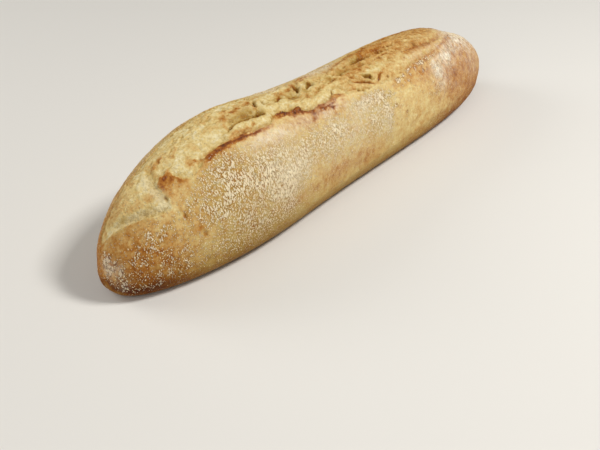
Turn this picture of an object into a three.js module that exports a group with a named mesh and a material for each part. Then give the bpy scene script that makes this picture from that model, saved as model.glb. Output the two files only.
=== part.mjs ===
// Sourdough baguette: one loaf, scored three times along the crown, lying on its flat base.
// Millimetres, +Z up. The loaf runs along X, the base lies at Z = 0 and the origin is under its middle.
// The cuts opened in baking: a raised lip of crust runs along the -Y side of the score line, and the
// torn dough beyond it bulges, folds and cracks across the crown.
import * as THREE from "three";

// Whole loaf
const LENGTH = 370;
const HALF_WIDTH = 38.5;
const HEIGHT = 66.8;
const SWELL_AT = -100;
const SWELL_LENGTH = 64.5;
const SWELL_WIDTH_SHARE = 0.141;
const SWELL_HEIGHT_SHARE = 0.165;

// Ends: powers of the rounded-off outline seen from above and from the side
const LEFT_END_POWER = 3.57;
const RIGHT_END_POWER = 4.23;
const END_ROUNDING = 2.255;
const END_HEIGHT_POWER = 0.773;
const TIP_LIFT = 13.4;

// Cross-section: domed crown over a fuller flank that turns in to the flat base
const CROWN_POWER = 2.15;
const FLANK_POWER = 3;
const WIDEST_AT_SHARE = 0.4;
const BASE_TRIM_SHARE = 0.06;

// Mesh: rows along the loaf; columns from the score line down each side to the middle of the base
const ROWS = 86;
const NEAR_COLUMNS = 22;
const FAR_COLUMNS = 30;
const NEAR_SPREAD = 1.3;
const FAR_SPREAD = 1.25;
const ARC_STEPS = 2000;
const SLOPE_STEP = 1e-3;

// Distances around the loaf are measured from the crown line as if the section had this radius
const AROUND_RADIUS = 38;
const RELIEF_FULL_TO = 62;
const RELIEF_ENDS_AT = 84;

// Score line: [mm along, mm around]; the far side of it is the opened dough
const SCORE_LINE = [
  [-185, 14], [-174, -2], [-150, -25], [-137, -18], [-110, -15], [-71, -18], [-54, -14], [-37, -20], [-8, -18],
  [43, -27], [122, -19], [150, -6], [185, 2],
];

// Lip of crust beside the score line: [mm along, mm of rise]
const LIP_RISE = [
  [-180, 0], [-170, 1.4], [-150, 1.6], [-110, 2.6], [-30, 3.4], [0, 2.6], [14, 0.9], [80, 1.2], [125, 1], [160, 0],
];
const LIP_RUN = 6;

// Furrow at the foot of the lip: [mm along, mm of depth]
const FURROW_DEPTH = [
  [-180, 0], [-170, 2.8], [-152, 3.4], [-138, 1.6], [-95, 2.4], [-5, 1.8], [18, 0.8], [60, 0.8], [110, 1.3], [162, 0],
];
const FURROW_CENTRE = 2.6;
const FURROW_WIDTH = 2.8;

// Rounded lumps and hollows of the opened dough: middle, half-lengths and rise in mm
const LUMPS = [
  { name: "left dome", along: -156, around: 9, halfAlong: 14, halfAround: 17, rise: 3 },
  { name: "crust tongue between the cuts", along: -141, around: -11, halfAlong: 6, halfAround: 8, rise: 2.4 },
  { name: "smooth hollow", along: -113, around: -7, halfAlong: 14, halfAround: 6, rise: -1.6 },
  { name: "long lump", along: -86, around: 9, halfAlong: 30, halfAround: 9, rise: 2.8 },
  { name: "lobed strip", along: -32, around: -11, halfAlong: 30, halfAround: 4, rise: 1.8 },
  { name: "middle fold", along: -16, around: 7, halfAlong: 26, halfAround: 8, rise: 1.6 },
  { name: "right fold", along: 62, around: 10, halfAlong: 24, halfAround: 7, rise: 2 },
  { name: "small nub", along: 65, around: -8, halfAlong: 5, halfAround: 5, rise: 1.5 },
  { name: "end lump", along: 112, around: 1, halfAlong: 24, halfAround: 7, rise: 2 },
  { name: "hole under the long lump", along: -67, around: -8, halfAlong: 5, halfAround: 3, rise: -3 },
  { name: "first hole", along: -22, around: 1, halfAlong: 4, halfAround: 3, rise: -3.6 },
  { name: "second hole", along: -9, around: 0, halfAlong: 4, halfAround: 3, rise: -3.4 },
  { name: "notch", along: 40, around: -19, halfAlong: 4, halfAround: 3.5, rise: -2 },
];

// Cracks and furrows of the opened dough: [mm along, mm around] points, half-width and depth in mm
const CRACKS = [
  { name: "neck beside the left dome", path: [[-150, -22], [-147, -8], [-143, 2], [-138, 16]], half: 3.6, depth: 3 },
  { name: "crack under the long lump", path: [[-97, -9], [-86, -7], [-64, -8]], half: 2.6, depth: 3.2 },
  { name: "crack above the lobed strip", path: [[-48, -2], [-36, -2], [-22, -8], [-8, -7]], half: 2.6, depth: 2.4 },
  { name: "right furrow", path: [[24, -2], [40, 2], [56, 1]], half: 3.4, depth: 2.6 },
  { name: "right hole", path: [[27, -11], [35, -18]], half: 2.8, depth: 2.8 },
  { name: "end crease", path: [[94, -7], [110, -11], [122, -12], [140, -6]], half: 3.4, depth: 2 },
];
const CRACK_END_DEPTH_SHARE = 0.5;
const CRACK_TAPER_SHARE = 0.25;

const CRUST_COLOUR = 0xcfa45f;
const CRUST_ROUGHNESS = 0.85;

// Smooth curve through [position, value] pairs
function curve(points, position) {
  const last = points.length - 1;
  if (position <= points[0][0]) return points[0][1];
  if (position >= points[last][0]) return points[last][1];
  let i = 0;
  while (position > points[i + 1][0]) i += 1;
  const slope = (k) => {
    const low = points[Math.max(k - 1, 0)];
    const high = points[Math.min(k + 1, last)];
    return (high[1] - low[1]) / (high[0] - low[0]);
  };
  const span = points[i + 1][0] - points[i][0];
  const u = (position - points[i][0]) / span;
  const v = 1 - u;
  return v * v * (1 + 2 * u) * points[i][1] + u * u * (1 + 2 * v) * points[i + 1][1]
    + u * v * span * (v * slope(i) - u * slope(i + 1));
}

const fade = (edge, stop, value) => THREE.MathUtils.smoothstep(stop - value, 0, stop - edge);
const bell = (offset, half) => Math.exp(-((offset / half) ** 2));
const signedPower = (value, power) => Math.sign(value) * Math.abs(value) ** power;

function halfWidthAndHeight(share) {
  const power = share < 0 ? LEFT_END_POWER : RIGHT_END_POWER;
  const end = Math.max(1 - Math.abs(share) ** power, 0) ** (1 / END_ROUNDING);
  const swell = bell((share * LENGTH) / 2 - SWELL_AT, SWELL_LENGTH);
  return {
    halfWidth: HALF_WIDTH * end * (1 + SWELL_WIDTH_SHARE * swell),
    height: HEIGHT * end ** END_HEIGHT_POWER * (1 + SWELL_HEIGHT_SHARE * swell),
  };
}

// Plain loaf before the relief; the angle runs from the crown, negative towards -Y
function plainPoint(share, angle) {
  const { halfWidth, height } = halfWidthAndHeight(share);
  const upper = Math.cos(angle) > 0;
  const power = 2 / (upper ? CROWN_POWER : FLANK_POWER);
  const across = signedPower(Math.sin(angle), power);
  const rise = signedPower(Math.cos(angle), power);
  const reach = upper ? 1 - WIDEST_AT_SHARE : WIDEST_AT_SHARE + BASE_TRIM_SHARE;
  const lift = TIP_LIFT * (1 - Math.min(height / HEIGHT, 1)) ** 2;
  const z = Math.max(height * (WIDEST_AT_SHARE + reach * rise) + lift, 0);
  return new THREE.Vector3((share * LENGTH) / 2, halfWidth * across, z);
}

function outward(share, angle) {
  const along = plainPoint(share + SLOPE_STEP, angle).sub(plainPoint(share - SLOPE_STEP, angle));
  const around = plainPoint(share, angle + SLOPE_STEP).sub(plainPoint(share, angle - SLOPE_STEP));
  return along.cross(around).normalize();
}

// Distance from a point to a crack, and how far along the crack the nearest place is
function nearestOnPath(path, along, around) {
  let best = { distance: Infinity, share: 0 };
  for (let i = 0; i + 1 < path.length; i += 1) {
    const [x, s] = path[i];
    const runX = path[i + 1][0] - x;
    const runS = path[i + 1][1] - s;
    const u = THREE.MathUtils.clamp(((along - x) * runX + (around - s) * runS) / (runX ** 2 + runS ** 2), 0, 1);
    const distance = Math.hypot(along - x - u * runX, around - s - u * runS);
    if (distance < best.distance) best = { distance, share: (i + u) / (path.length - 1) };
  }
  return best;
}

function relief(along, around, fromLine) {
  let rise = 0;
  if (fromLine <= 0) {
    rise += curve(LIP_RISE, along) * Math.exp(fromLine / LIP_RUN);
  } else {
    rise -= curve(FURROW_DEPTH, along) * bell(fromLine - FURROW_CENTRE, FURROW_WIDTH);
  }
  for (const lump of LUMPS) {
    rise += lump.rise * bell(along - lump.along, lump.halfAlong) * bell(around - lump.around, lump.halfAround);
  }
  for (const crack of CRACKS) {
    const { distance, share } = nearestOnPath(crack.path, along, around);
    const fullness = Math.min(1, Math.min(share, 1 - share) / CRACK_TAPER_SHARE);
    const taper = CRACK_END_DEPTH_SHARE + (1 - CRACK_END_DEPTH_SHARE) * fullness;
    rise -= crack.depth * taper * bell(distance, crack.half);
  }
  return rise * fade(RELIEF_FULL_TO, RELIEF_ENDS_AT, Math.abs(around));
}

// Places along the loaf, as shares of half the length, evenly spaced over the side outline
function evenShares(count) {
  const places = [];
  for (let i = 0; i <= ARC_STEPS; i += 1) {
    const share = Math.sin((i / ARC_STEPS - 0.5) * Math.PI);
    const { halfWidth, height } = halfWidthAndHeight(share);
    const radius = (halfWidth + height) / 2;
    const before = places[i - 1];
    const step = before ? Math.hypot(((share - before.share) * LENGTH) / 2, radius - before.radius) : 0;
    places.push({ share, radius, arc: (before ? before.arc : 0) + step });
  }
  const total = places[ARC_STEPS].arc;
  const shares = [];
  let i = 0;
  for (let row = 1; row <= count; row += 1) {
    const wanted = (total * row) / (count + 1);
    while (places[i + 1].arc < wanted) i += 1;
    const u = (wanted - places[i].arc) / (places[i + 1].arc - places[i].arc);
    shares.push(places[i].share + u * (places[i + 1].share - places[i].share));
  }
  return shares;
}

// Angles around one section: from the middle of the base up the near side to the score line, then on
// over the crown and down the far side, closest together beside the score line
function columnAngles(line) {
  const angles = [];
  for (let k = NEAR_COLUMNS; k > 0; k -= 1) {
    angles.push(line - (Math.PI + line) * (k / NEAR_COLUMNS) ** NEAR_SPREAD);
  }
  for (let k = 0; k < FAR_COLUMNS; k += 1) {
    angles.push(line + (Math.PI - line) * (k / FAR_COLUMNS) ** FAR_SPREAD);
  }
  return angles;
}

function loafGeometry() {
  const columns = NEAR_COLUMNS + FAR_COLUMNS;
  const positions = [];
  for (const share of evenShares(ROWS)) {
    const along = (share * LENGTH) / 2;
    const line = curve(SCORE_LINE, along) / AROUND_RADIUS;
    for (const angle of columnAngles(line)) {
      const around = angle * AROUND_RADIUS;
      const point = plainPoint(share, angle);
      point.addScaledVector(outward(share, angle), relief(along, around, (angle - line) * AROUND_RADIUS));
      positions.push(point.x, point.y, Math.max(point.z, 0));
    }
  }
  const leftTip = positions.length / 3;
  positions.push(-LENGTH / 2, 0, TIP_LIFT, LENGTH / 2, 0, TIP_LIFT);
  const indices = [];
  for (let column = 0; column < columns; column += 1) {
    const next = (column + 1) % columns;
    for (let row = 0; row + 1 < ROWS; row += 1) {
      const a = row * columns + column;
      const b = row * columns + next;
      indices.push(a, a + columns, b, b, a + columns, b + columns);
    }
    const last = (ROWS - 1) * columns;
    indices.push(leftTip, column, next, leftTip + 1, last + next, last + column);
  }
  const geometry = new THREE.BufferGeometry();
  geometry.setAttribute("position", new THREE.Float32BufferAttribute(positions, 3));
  geometry.setIndex(indices);
  geometry.computeVertexNormals();
  return geometry;
}

const crust = new THREE.MeshStandardMaterial({ color: CRUST_COLOUR, roughness: CRUST_ROUGHNESS, metalness: 0 });
crust.name = "crust";
const loaf = new THREE.Mesh(loafGeometry(), crust);
loaf.name = "loaf";
const baguette = new THREE.Group();
baguette.name = "sourdough_baguette";
baguette.add(loaf);

export default baguette;
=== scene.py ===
"""Sourdough baguette: models the baked loaf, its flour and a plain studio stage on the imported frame."""
import math
from collections import namedtuple

import bpy
import numpy as np
from mathutils import Matrix, Vector, noise


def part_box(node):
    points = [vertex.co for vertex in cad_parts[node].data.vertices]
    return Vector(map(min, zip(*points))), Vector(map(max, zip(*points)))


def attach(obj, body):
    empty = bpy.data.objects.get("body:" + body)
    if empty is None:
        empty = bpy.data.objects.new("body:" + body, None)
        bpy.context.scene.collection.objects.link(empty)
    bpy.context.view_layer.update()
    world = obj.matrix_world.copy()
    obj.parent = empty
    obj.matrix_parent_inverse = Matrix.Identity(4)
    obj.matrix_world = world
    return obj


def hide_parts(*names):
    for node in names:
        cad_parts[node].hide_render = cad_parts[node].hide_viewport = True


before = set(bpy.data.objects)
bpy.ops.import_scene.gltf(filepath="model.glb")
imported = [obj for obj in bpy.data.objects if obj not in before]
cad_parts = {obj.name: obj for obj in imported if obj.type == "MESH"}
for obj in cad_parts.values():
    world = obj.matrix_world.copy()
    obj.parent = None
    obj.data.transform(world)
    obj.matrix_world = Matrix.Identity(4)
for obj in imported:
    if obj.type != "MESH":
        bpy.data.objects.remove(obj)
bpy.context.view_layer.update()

bl_info = {
    "name": "Sourdough Baguette",
    "version": (1, 0, 0),
    "blender": (4, 5, 0),
    "location": "3D View > Sidebar > Baguette",
    "description": "Models a scored and floured sourdough baguette with a plain studio stage",
    "category": "Object",
}

# Frame: the loaf runs along X on its flat base; sizes below are in millimetres
MM = 0.001
LOAF_LOW, LOAF_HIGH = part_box("loaf")
SEED = 20
SMALLEST_NORMAL = 1e-9
SMALLEST_AREA = 1e-12

# Noise field: size of its features in mm, octaves, place where it starts, and stretch along the loaf
Noise = namedtuple("Noise", "size octaves start stretch", defaults=(1.0,))
NOISE_FALL = 1.0
NOISE_STEP = 2.0

# Whole loaf, before the cuts opened
LENGTH = (LOAF_HIGH[0] - LOAF_LOW[0]) / MM
HALF_WIDTH = 38.5
HEIGHT = 66.8
SWELL_AT = -100.0
SWELL_LENGTH = 64.5
SWELL_WIDTH_SHARE = 0.141
SWELL_HEIGHT_SHARE = 0.165
LEFT_END_POWER = 3.57
RIGHT_END_POWER = 4.23
END_ROUNDING = 2.255
END_HEIGHT_POWER = 0.773
TIP_LIFT = 13.4
TIP_LEAN = 2.0
TIP_LEANS_FROM = -158.0
TIP_LEANS_ABOUT = 28.0
CROWN_POWER = 2.15
FLANK_POWER = 3.0
WIDEST_AT_SHARE = 0.4
BASE_TRIM_SHARE = 0.06

# Mesh of the loaf: columns are even over the opened dough and grow wider down the flanks
ROWS = 580
NEAR_COLUMNS = 66
NEAR_EVEN = 10
NEAR_GROWTH = 1.032
FAR_COLUMNS = 104
FAR_EVEN = 56
FAR_GROWTH = 1.045
ARC_STEPS = 4000
SLOPE_STEP = 1e-3
# Maps kept on the loaf's corners; the fourth is painted shade that darkens the crust colour
SURFACE_MAPS = ("bake", "flour", "film", "hollow", "dough")

# Distances around the loaf are measured from the crown line as if the section had this radius
AROUND_RADIUS = 38.0
RELIEF_FULL_TO = 66.0
RELIEF_ENDS_AT = 86.0

# Smooth run of the three cuts, which the mesh columns follow: (along, around)
SCORE_LINE = [
    (-185, 14), (-175, -2), (-165, -14), (-150, -22), (-137, -17), (-110, -15), (-71, -18), (-57, -14),
    (-37, -19), (-8, -17), (20, -21), (43, -25), (75, -23), (108, -21), (138, -11), (150, -6), (185, 2),
]

# Edge of the crust against the opened dough on the near side, with the tongue between the first two cuts:
# place, rise of the lip, depth of the furrow at its foot, browning of the lip and width of that band
Edge = namedtuple("Edge", "along around lip furrow browning band")
CRUST_EDGE = [
    Edge(-181.2, 21, 0, 0, 0, 2),
    Edge(-180, 12, 0.3, 0.4, 0, 2),
    Edge(-178, 4, 0.5, 0.7, 0, 2),
    Edge(-175, -2, 0.9, 1.3, 0, 2),
    Edge(-170, -11, 1.2, 1.9, 0.03, 2),
    Edge(-165, -16.3, 1.2, 2.0, 0.03, 2),
    Edge(-160, -20.8, 1.1, 1.9, 0.03, 2),
    Edge(-155, -24.6, 0.8, 1.5, 0.03, 2),
    Edge(-150.5, -25.5, 0.3, 0.6, 0, 2),
    Edge(-148.3, -21, 0.3, 0.5, 0, 2),
    Edge(-148.3, -15, 0.4, 0.2, 0.02, 2),
    Edge(-148, -10.5, 0.4, 0.2, 0.08, 3),
    Edge(-147.6, -6.5, 0.4, 0.2, 0.06, 4),
    Edge(-145.8, -4.8, 0.4, 0.2, 0.06, 4),
    Edge(-143.6, -3.9, 0.9, 0.5, 0.06, 4),
    Edge(-141.6, -5.2, 0.9, 0.5, 0.06, 4),
    Edge(-139.6, -4.4, 0.9, 0.5, 0.06, 4),
    Edge(-137.2, -3.0, 0.9, 0.5, 0.06, 4),
    Edge(-138, -7, 0.9, 0.5, 0.06, 4),
    Edge(-138.4, -10.5, 0.9, 0.5, 0.06, 3),
    Edge(-137, -14, 0.8, 0.5, 0.14, 3),
    Edge(-135.6, -17.2, 0.7, 0.4, 0.10, 2),
    Edge(-132, -18.8, 0.5, 0.3, 0.03, 2),
    Edge(-127, -18.6, 0.5, 0.3, 0.02, 2),
    Edge(-123.5, -17, 0.6, 0.4, 0.12, 3.5),
    Edge(-120, -14.6, 0.9, 0.5, 0.32, 4.4),
    Edge(-115, -14, 1.1, 0.6, 0.44, 5),
    Edge(-110, -13.8, 1.2, 0.6, 0.46, 5.2),
    Edge(-105, -14, 1.2, 0.6, 0.36, 4.8),
    Edge(-100, -14.8, 1.2, 0.6, 0.36, 4.4),
    Edge(-95, -15.6, 1.3, 0.7, 0.56, 4.4),
    Edge(-90, -15.9, 1.3, 0.7, 0.52, 4.2),
    Edge(-85, -16.2, 1.2, 0.6, 0.46, 4),
    Edge(-80, -17.2, 1.1, 0.6, 0.36, 3.6),
    Edge(-75, -17.8, 1.0, 0.5, 0.32, 3.2),
    Edge(-70, -18, 0.9, 0.4, 0.24, 2.4),
    Edge(-66, -16.6, 0.8, 0.4, 0.15, 2),
    Edge(-62.5, -14.2, 1.0, 0.5, 0.26, 2.8),
    Edge(-60.5, -13, 1.2, 0.6, 0.40, 3.6),
    Edge(-57, -12.7, 1.4, 0.7, 0.62, 4.6),
    Edge(-52.5, -13, 1.5, 0.7, 0.76, 4.6),
    Edge(-50.8, -14.4, 1.4, 0.7, 0.40, 3.6),
    Edge(-47, -14.6, 1.3, 0.7, 0.30, 4.4),
    Edge(-42.3, -15, 1.4, 0.7, 0.44, 4.4),
    Edge(-40.3, -14, 1.6, 0.8, 0.68, 5),
    Edge(-38.9, -14.6, 1.6, 0.8, 0.68, 4.4),
    Edge(-38.9, -16.6, 1.5, 0.8, 0.50, 3.4),
    Edge(-36.5, -18.2, 1.4, 0.7, 0.38, 2.8),
    Edge(-33, -19.6, 1.3, 0.6, 0.36, 3.4),
    Edge(-29, -19.8, 1.3, 0.6, 0.30, 4.4),
    Edge(-25, -19.2, 1.3, 0.6, 0.36, 6),
    Edge(-21, -18.8, 1.3, 0.6, 0.40, 6.2),
    Edge(-16, -19.2, 1.3, 0.6, 0.34, 5.6),
    Edge(-12, -18, 1.3, 0.6, 0.36, 6.2),
    Edge(-9, -17.4, 1.3, 0.6, 0.35, 5.6),
    Edge(-6.5, -16, 1.2, 0.6, 0.37, 5.4),
    Edge(-4, -15.6, 1.0, 0.5, 0.38, 5.4),
    Edge(-1.5, -17, 0.8, 0.4, 0.40, 3.6),
    Edge(2.5, -18.2, 0.6, 0.3, 0.26, 2.8),
    Edge(6, -20, 0.4, 0.3, 0.03, 2.0),
    Edge(20, -23, 0.3, 0.2, 0, 2),
    Edge(45, -25.5, 0.3, 0.2, 0, 2),
    Edge(60, -25, 0.4, 0.3, 0.01, 1.5),
    Edge(75, -23.4, 0.5, 0.4, 0.02, 1.5),
    Edge(90, -22.4, 0.6, 0.5, 0.03, 1.5),
    Edge(108, -20.8, 0.6, 0.5, 0.03, 1.5),
    Edge(122, -17.5, 0.6, 0.5, 0.04, 1.5),
    Edge(138, -11, 0.6, 0.6, 0.04, 1.5),
    Edge(149, -4, 0.4, 0.4, 0, 1.5),
]
# Edge of the opened dough beyond the crown
FAR_EDGE = [
    (152, 8), (138, 13), (60, 14), (45, 12), (36, 9.5), (20, 7.5), (5, 8), (-8, 10.5), (-20, 10), (-26, 8.5),
    (-38, 7.5), (-46, 7), (-58, 8), (-66, 10.5), (-80, 14), (-100, 15.5), (-150, 15.5), (-170, 20),
    (-178, 23.5),
]
# How ragged the edge is along the loaf: (along, share)
RAGGED = [(-180, 0.25), (-152, 0.4), (-144, 0.7), (-100, 0.6), (-50, 0.7), (0, 0.8), (40, 0.8), (150, 0.7)]
# Noise that makes the edge ragged and lets cracks and strokes wander: share and field
RAGGED_ALONG = [(1.0, Noise(6.0, 2, 11.0)), (0.9, Noise(2.4, 2, 5.0))]
RAGGED_AROUND = [(1.0, Noise(6.0, 2, 23.0)), (0.9, Noise(2.4, 2, 31.0))]
WANDER_ALONG = [(0.6, Noise(4.0, 3, 41.0))]
WANDER_AROUND = [(0.6, Noise(4.0, 3, 47.0))]
DOUGH_EDGE_SOFTNESS = 0.3

# Raised lip of crust, the furrow at its foot, and the low step with its seam at the far edge
LIP_RUN = 5.0
FURROW_CENTRE = 2.4
FURROW_WIDTH = 2.6
LIP_EDGE_SOFTNESS = 0.35
FAR_STEP = 0.9
FAR_STEP_RUN = 3.0
FAR_SEAM_DEPTH = 0.5
FAR_SEAM_WIDTH = 0.9
FAR_SEAM_EVEN = 0.6

# Rounded lumps and hollows: middle, half-lengths and rise
Patch = namedtuple("Patch", "along around half_along half_around amount")
LUMPS = [
    Patch(-157, 6, 13, 15, 1.6),
    Patch(-113, -7, 13, 5, -0.9),
    Patch(-88, 8, 28, 10, 1.2),
    Patch(-60, 10, 12, 6, 0.5),
    Patch(-20, 8, 24, 7, 0.5),
    Patch(65, 8, 24, 7, 0.7),
    Patch(112, 2, 22, 8, 1.0),
    Patch(155, 3, 10, 10, -1.6),
    Patch(172, -42, 16, 26, 2.4),
]

# Ropes of dough drawn out between the cracks: points (along, around), half-width at each end and rise
Stroke = namedtuple("Stroke", "path half_start half_end amount")
STRANDS = [
    Stroke([(-94, -3.2), (-84, -2.6), (-74, -3), (-66, -3.4)], 2.6, 3.2, 0.8),
    Stroke([(-98, -12.8), (-86, -11.2), (-76, -12.4), (-66, -12.4)], 3.0, 3.6, 1.3),
    Stroke([(-64, -11.5), (-60.5, -5), (-58.6, -0.8), (-55, 2.6)], 3.2, 2.0, 1.5),
    Stroke([(-50, 1.8), (-42, 2.6), (-32, 3.6), (-25, 5.6)], 2.8, 3.4, 0.9),
    Stroke([(-59, -8), (-49, -7.6), (-41, -8.6)], 5.0, 5.0, 1.4),
    Stroke([(-38, -12), (-28, -13.4), (-19, -14)], 5.0, 5.0, 1.5),
    Stroke([(-16, -13.6), (-9, -12.4), (-4, -10)], 4.6, 4.2, 1.4),
    Stroke([(-24, -6), (-18, -2.5), (-14.5, 1), (-12.5, 4.5)], 2.4, 1.8, 1.3),
    Stroke([(-13, -4.8), (-6, -3.6), (2, -3.4)], 2.4, 2.4, 1.1),
    Stroke([(-4, -8), (8, -9), (18, -8.6)], 2.8, 2.4, 1.0),
    Stroke([(8, -13), (18, -17), (26, -20.4), (33, -24)], 2.4, 2.2, 0.9),
    Stroke([(26, -10.6), (29, -15), (32.4, -19.6)], 2.0, 1.8, 1.0),
    Stroke([(16, 1.4), (26, 3.6), (36, 4.4), (48, 5)], 2.4, 3.0, 1.2),
    Stroke([(50, 6.4), (60, 5.4), (72, 4.4), (86, 3)], 3.4, 3.2, 1.2),
    Stroke([(46, -2.6), (56, -3.2), (64, -4.4)], 2.2, 2.0, 0.9),
    Stroke([(61, -8.4), (65, -7.4), (68.4, -8.8)], 2.6, 2.6, 1.2),
    Stroke([(88, -2), (104, -4), (120, -6), (132, -4)], 6.0, 4.5, 0.6),
    Stroke([(80, -17), (96, -18), (112, -17), (128, -12)], 4.5, 4.5, 0.4),
    Stroke([(126, -60), (60, -65), (0, -68), (-60, -70)], 3.0, 3.0, 0.5),
]
STRAND_WANDER = 0.8
STRAND_ROUNDNESS = 0.7

# Cracks and holes: path, half-width at each end, depth, and how dark the painted shade in the bottom is
Crack = namedtuple("Crack", "path half_start half_end depth shade")
CRACKS = [
    Crack([(-151.5, -22), (-151, -13), (-149.4, -4), (-145.6, 2), (-140, 9)], 2.4, 1.8, 0.9, 0.20),
    Crack([(-149.6, -19.6), (-149, -15.4)], 0.6, 0.5, 1.0, 0.75),
    Crack([(-96, -10), (-92, -8.2), (-88, -7.3), (-82, -7.5), (-77, -8.8), (-72, -9.4)], 0.5, 0.7, 2.0, 1.0),
    Crack([(-76, -9), (-71, -8.9), (-67, -8.3), (-63.8, -8)], 0.6, 1.6, 2.6, 1.0),
    Crack([(-91, -6), (-84, -5.4), (-75, -6), (-66, -6)], 1.0, 2.2, 0.7, 0.55),
    Crack([(-47, -2.8), (-42, -1.2), (-36, 0.2)], 1.2, 1.4, 0.6, 0.5),
    Crack([(-22, -5.4), (-18, -3), (-15, -1.4)], 1.2, 1.0, 0.6, 0.4),
    Crack([(6, -3.4), (10, -3.2)], 2.4, 2.0, 0.7, 0.4),
    Crack([(38, 1.8), (45, 2.2), (50, 2)], 1.6, 1.8, 0.6, 0.5),
    Crack([(50, -1.2), (56, -0.6)], 0.9, 0.8, 0.6, 0.35),
    Crack([(-178, 6), (-171, -6), (-164, -13.6), (-157, -19)], 2.6, 2.6, 0.4, 0.25),
    Crack([(-63.4, -2.6), (-61.4, -0.2), (-58.4, 2.4)], 0.4, 0.4, 1.5, 0.45),
    Crack([(-48, -4.2), (-44.5, -2.9), (-41, -1.6), (-38, -0.6)], 0.8, 0.9, 1.8, 0.65),
    Crack([(-36, -5), (-31, -4.2), (-27, -2.4)], 1.8, 2.0, 1.2, 0.5),
    Crack([(-24, -2.2), (-21.4, 0.2), (-19.4, 2), (-17.6, 3.8)], 0.7, 1.2, 2.4, 1.0),
    Crack([(-14, -2.4), (-11, -1), (-8, 0.2), (-5.4, 0.8)], 0.7, 1.3, 2.2, 1.0),
    Crack([(-4.5, -15), (-3.2, -13.3), (-1.6, -11.3)], 0.6, 0.4, 1.2, 0.3),
    Crack([(5, -4.5), (9, -5), (13, -5.6)], 0.9, 0.7, 1.4, 0.5),
    Crack([(8, -1.8), (9.5, -3.6)], 0.9, 0.9, 1.2, 0.5),
    Crack([(17, -2.4), (23, -2), (30, -1.4)], 1.2, 1.4, 1.2, 0.5),
    Crack([(30, -3.4), (38, -4), (46, -3.6)], 1.2, 1.0, 1.2, 0.28),
    Crack([(36, 0.4), (42, 0.9), (47, 0.6), (51, 0.4)], 0.9, 1.3, 2.4, 0.8),
    Crack([(61, -1.2), (64, -1.6), (66, -1.4)], 0.9, 0.8, 1.6, 0.65),
    Crack([(66.5, -1.6), (70, -1.6)], 0.8, 0.8, 1.4, 0.5),
    Crack([(70.5, -2), (75, -2.2)], 0.8, 0.7, 1.0, 0.28),
    Crack([(30.6, -11.6), (32.6, -14), (34.8, -16.4), (36.4, -18)], 0.7, 1.2, 2.4, 0.75),
    Crack([(34.5, -16), (37.2, -16)], 0.8, 0.8, 1.8, 0.9),
    Crack([(30, -13.4), (33, -17.4)], 1.0, 1.0, 1.0, 0.32),
    Crack([(19, -14.4), (25, -16.8), (29, -19.2), (32.6, -21.4)], 0.6, 0.7, 1.1, 0.3),
    Crack([(38.6, -22), (41, -20.4), (43.4, -18.6), (47, -17.4)], 0.7, 0.5, 0.9, 0.25),
    Crack([(16.5, -21), (18.5, -21)], 0.8, 0.8, 1.2, 0.55),
    Crack([(19.5, -22.6), (22, -22.6)], 0.7, 0.7, 1.0, 0.5),
    Crack([(48.2, -21.2), (48.8, -22.4)], 0.6, 0.6, 1.0, 0.6),
    Crack([(61.5, -6.2), (65, -5), (68, -5.4), (69.6, -7)], 0.6, 0.6, 1.0, 0.25),
    Crack([(95, -9.3), (98.5, -9.6)], 1.0, 1.0, 1.4, 0.55),
    Crack([(84, -10.6), (100, -11.8), (112, -12.4), (124, -11.6), (132, -8.2), (141, -4.5)],
          1.4, 1.6, 0.6, 0.08),
    Crack([(-146.4, -32.2), (-146, -36.2)], 0.8, 0.7, 0.9, 0.35),
    Crack([(-139.4, -49.6), (-138.8, -52.4)], 0.8, 0.7, 0.8, 0.3),
    Crack([(51.8, -50), (54, -51)], 0.5, 0.5, 0.7, 0.45),
]
CRACK_END_DEPTH_SHARE = 0.35
CRACK_END_WIDTH_SHARE = 0.6
CRACK_TAPER_SHARE = 0.2
CRACK_STEEPNESS = 4
CRACK_RIM = 0.35
CRACK_RIM_AT = 2
CRACK_RIM_WIDTH = 0.7
CRACK_RIM_FULL_DEPTH = 2
# Painted shade in a crack, and how folds and blisters break it up
HOLLOW_SPREAD = 1.8
HOLLOW_EVEN = 0.9
HOLLOW_BY_FOLDS = 0.5
HOLLOW_BY_BLISTERS = 0.4
HOLLOW_LEAST = 0.5
HOLLOW_MOST = 1.15
# Painted shade in the cavities of the dough, under the flanks and under the near tip
CAVITY_REACH = 5
CAVITY_DEPTH = 1.0
CAVITY_SHADE = 0.76
UNDERSIDE_FROM = 56.0
UNDERSIDE_TO = 82.0
UNDERSIDE_SHADE = 0.55
PAINTED_SHADE_PATCHES = [Patch(-174, -73, 20, 15, 0.42), Patch(-105, -66, 45, 9, 0.08)]

# Torn, stringy surface of the opened dough: where, and how rough
TORN = [
    Patch(-155, 8, 20, 18, 0.20),
    Patch(-151, -14, 4, 12, 0.20),
    Patch(-118, 6, 22, 8, 0.30),
    Patch(-82, 7, 30, 8, 0.65),
    Patch(-84, -13, 16, 2.5, 0.5),
    Patch(-22, -3, 40, 12, 0.55),
    Patch(44, 2, 42, 11, 0.65),
    Patch(112, -2, 32, 12, 0.40),
]
FOLDS = Noise(8.0, 3, 3.7, 2.0)
FOLD_RISE = 1.2
CREASES = Noise(6.5, 3, 19.3, 2.4)
CREASE_WIDTH = 0.075
CREASE_DEPTH = 1.1
# Painted shade in the creases
CREASE_SHADE = 0.5
CREASE_EVEN = 0.6
STRINGS = Noise(3.4, 3, 9.1, 3.0)
STRING_SHARPNESS = 2.4
STRING_RISE = 0.7
BLISTERS = Noise(2.2, 2, 13.3)
BLISTER_RISE = 0.4
DOUGH_BLISTER_RISE = 0.28
PITS = Noise(2.8, 2, 101.0)
PIT_FROM = 0.18
PIT_TO = 0.45
PIT_DEPTH = 0.16
# Painted shade in the pits
PIT_SHADE = 0.10
# Low relief of the crust: rise in mm and field
CRUST_RELIEF = [(0.3, Noise(9.0, 2, 61.0)), (0.15, Noise(2.4, 2, 67.0))]

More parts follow.
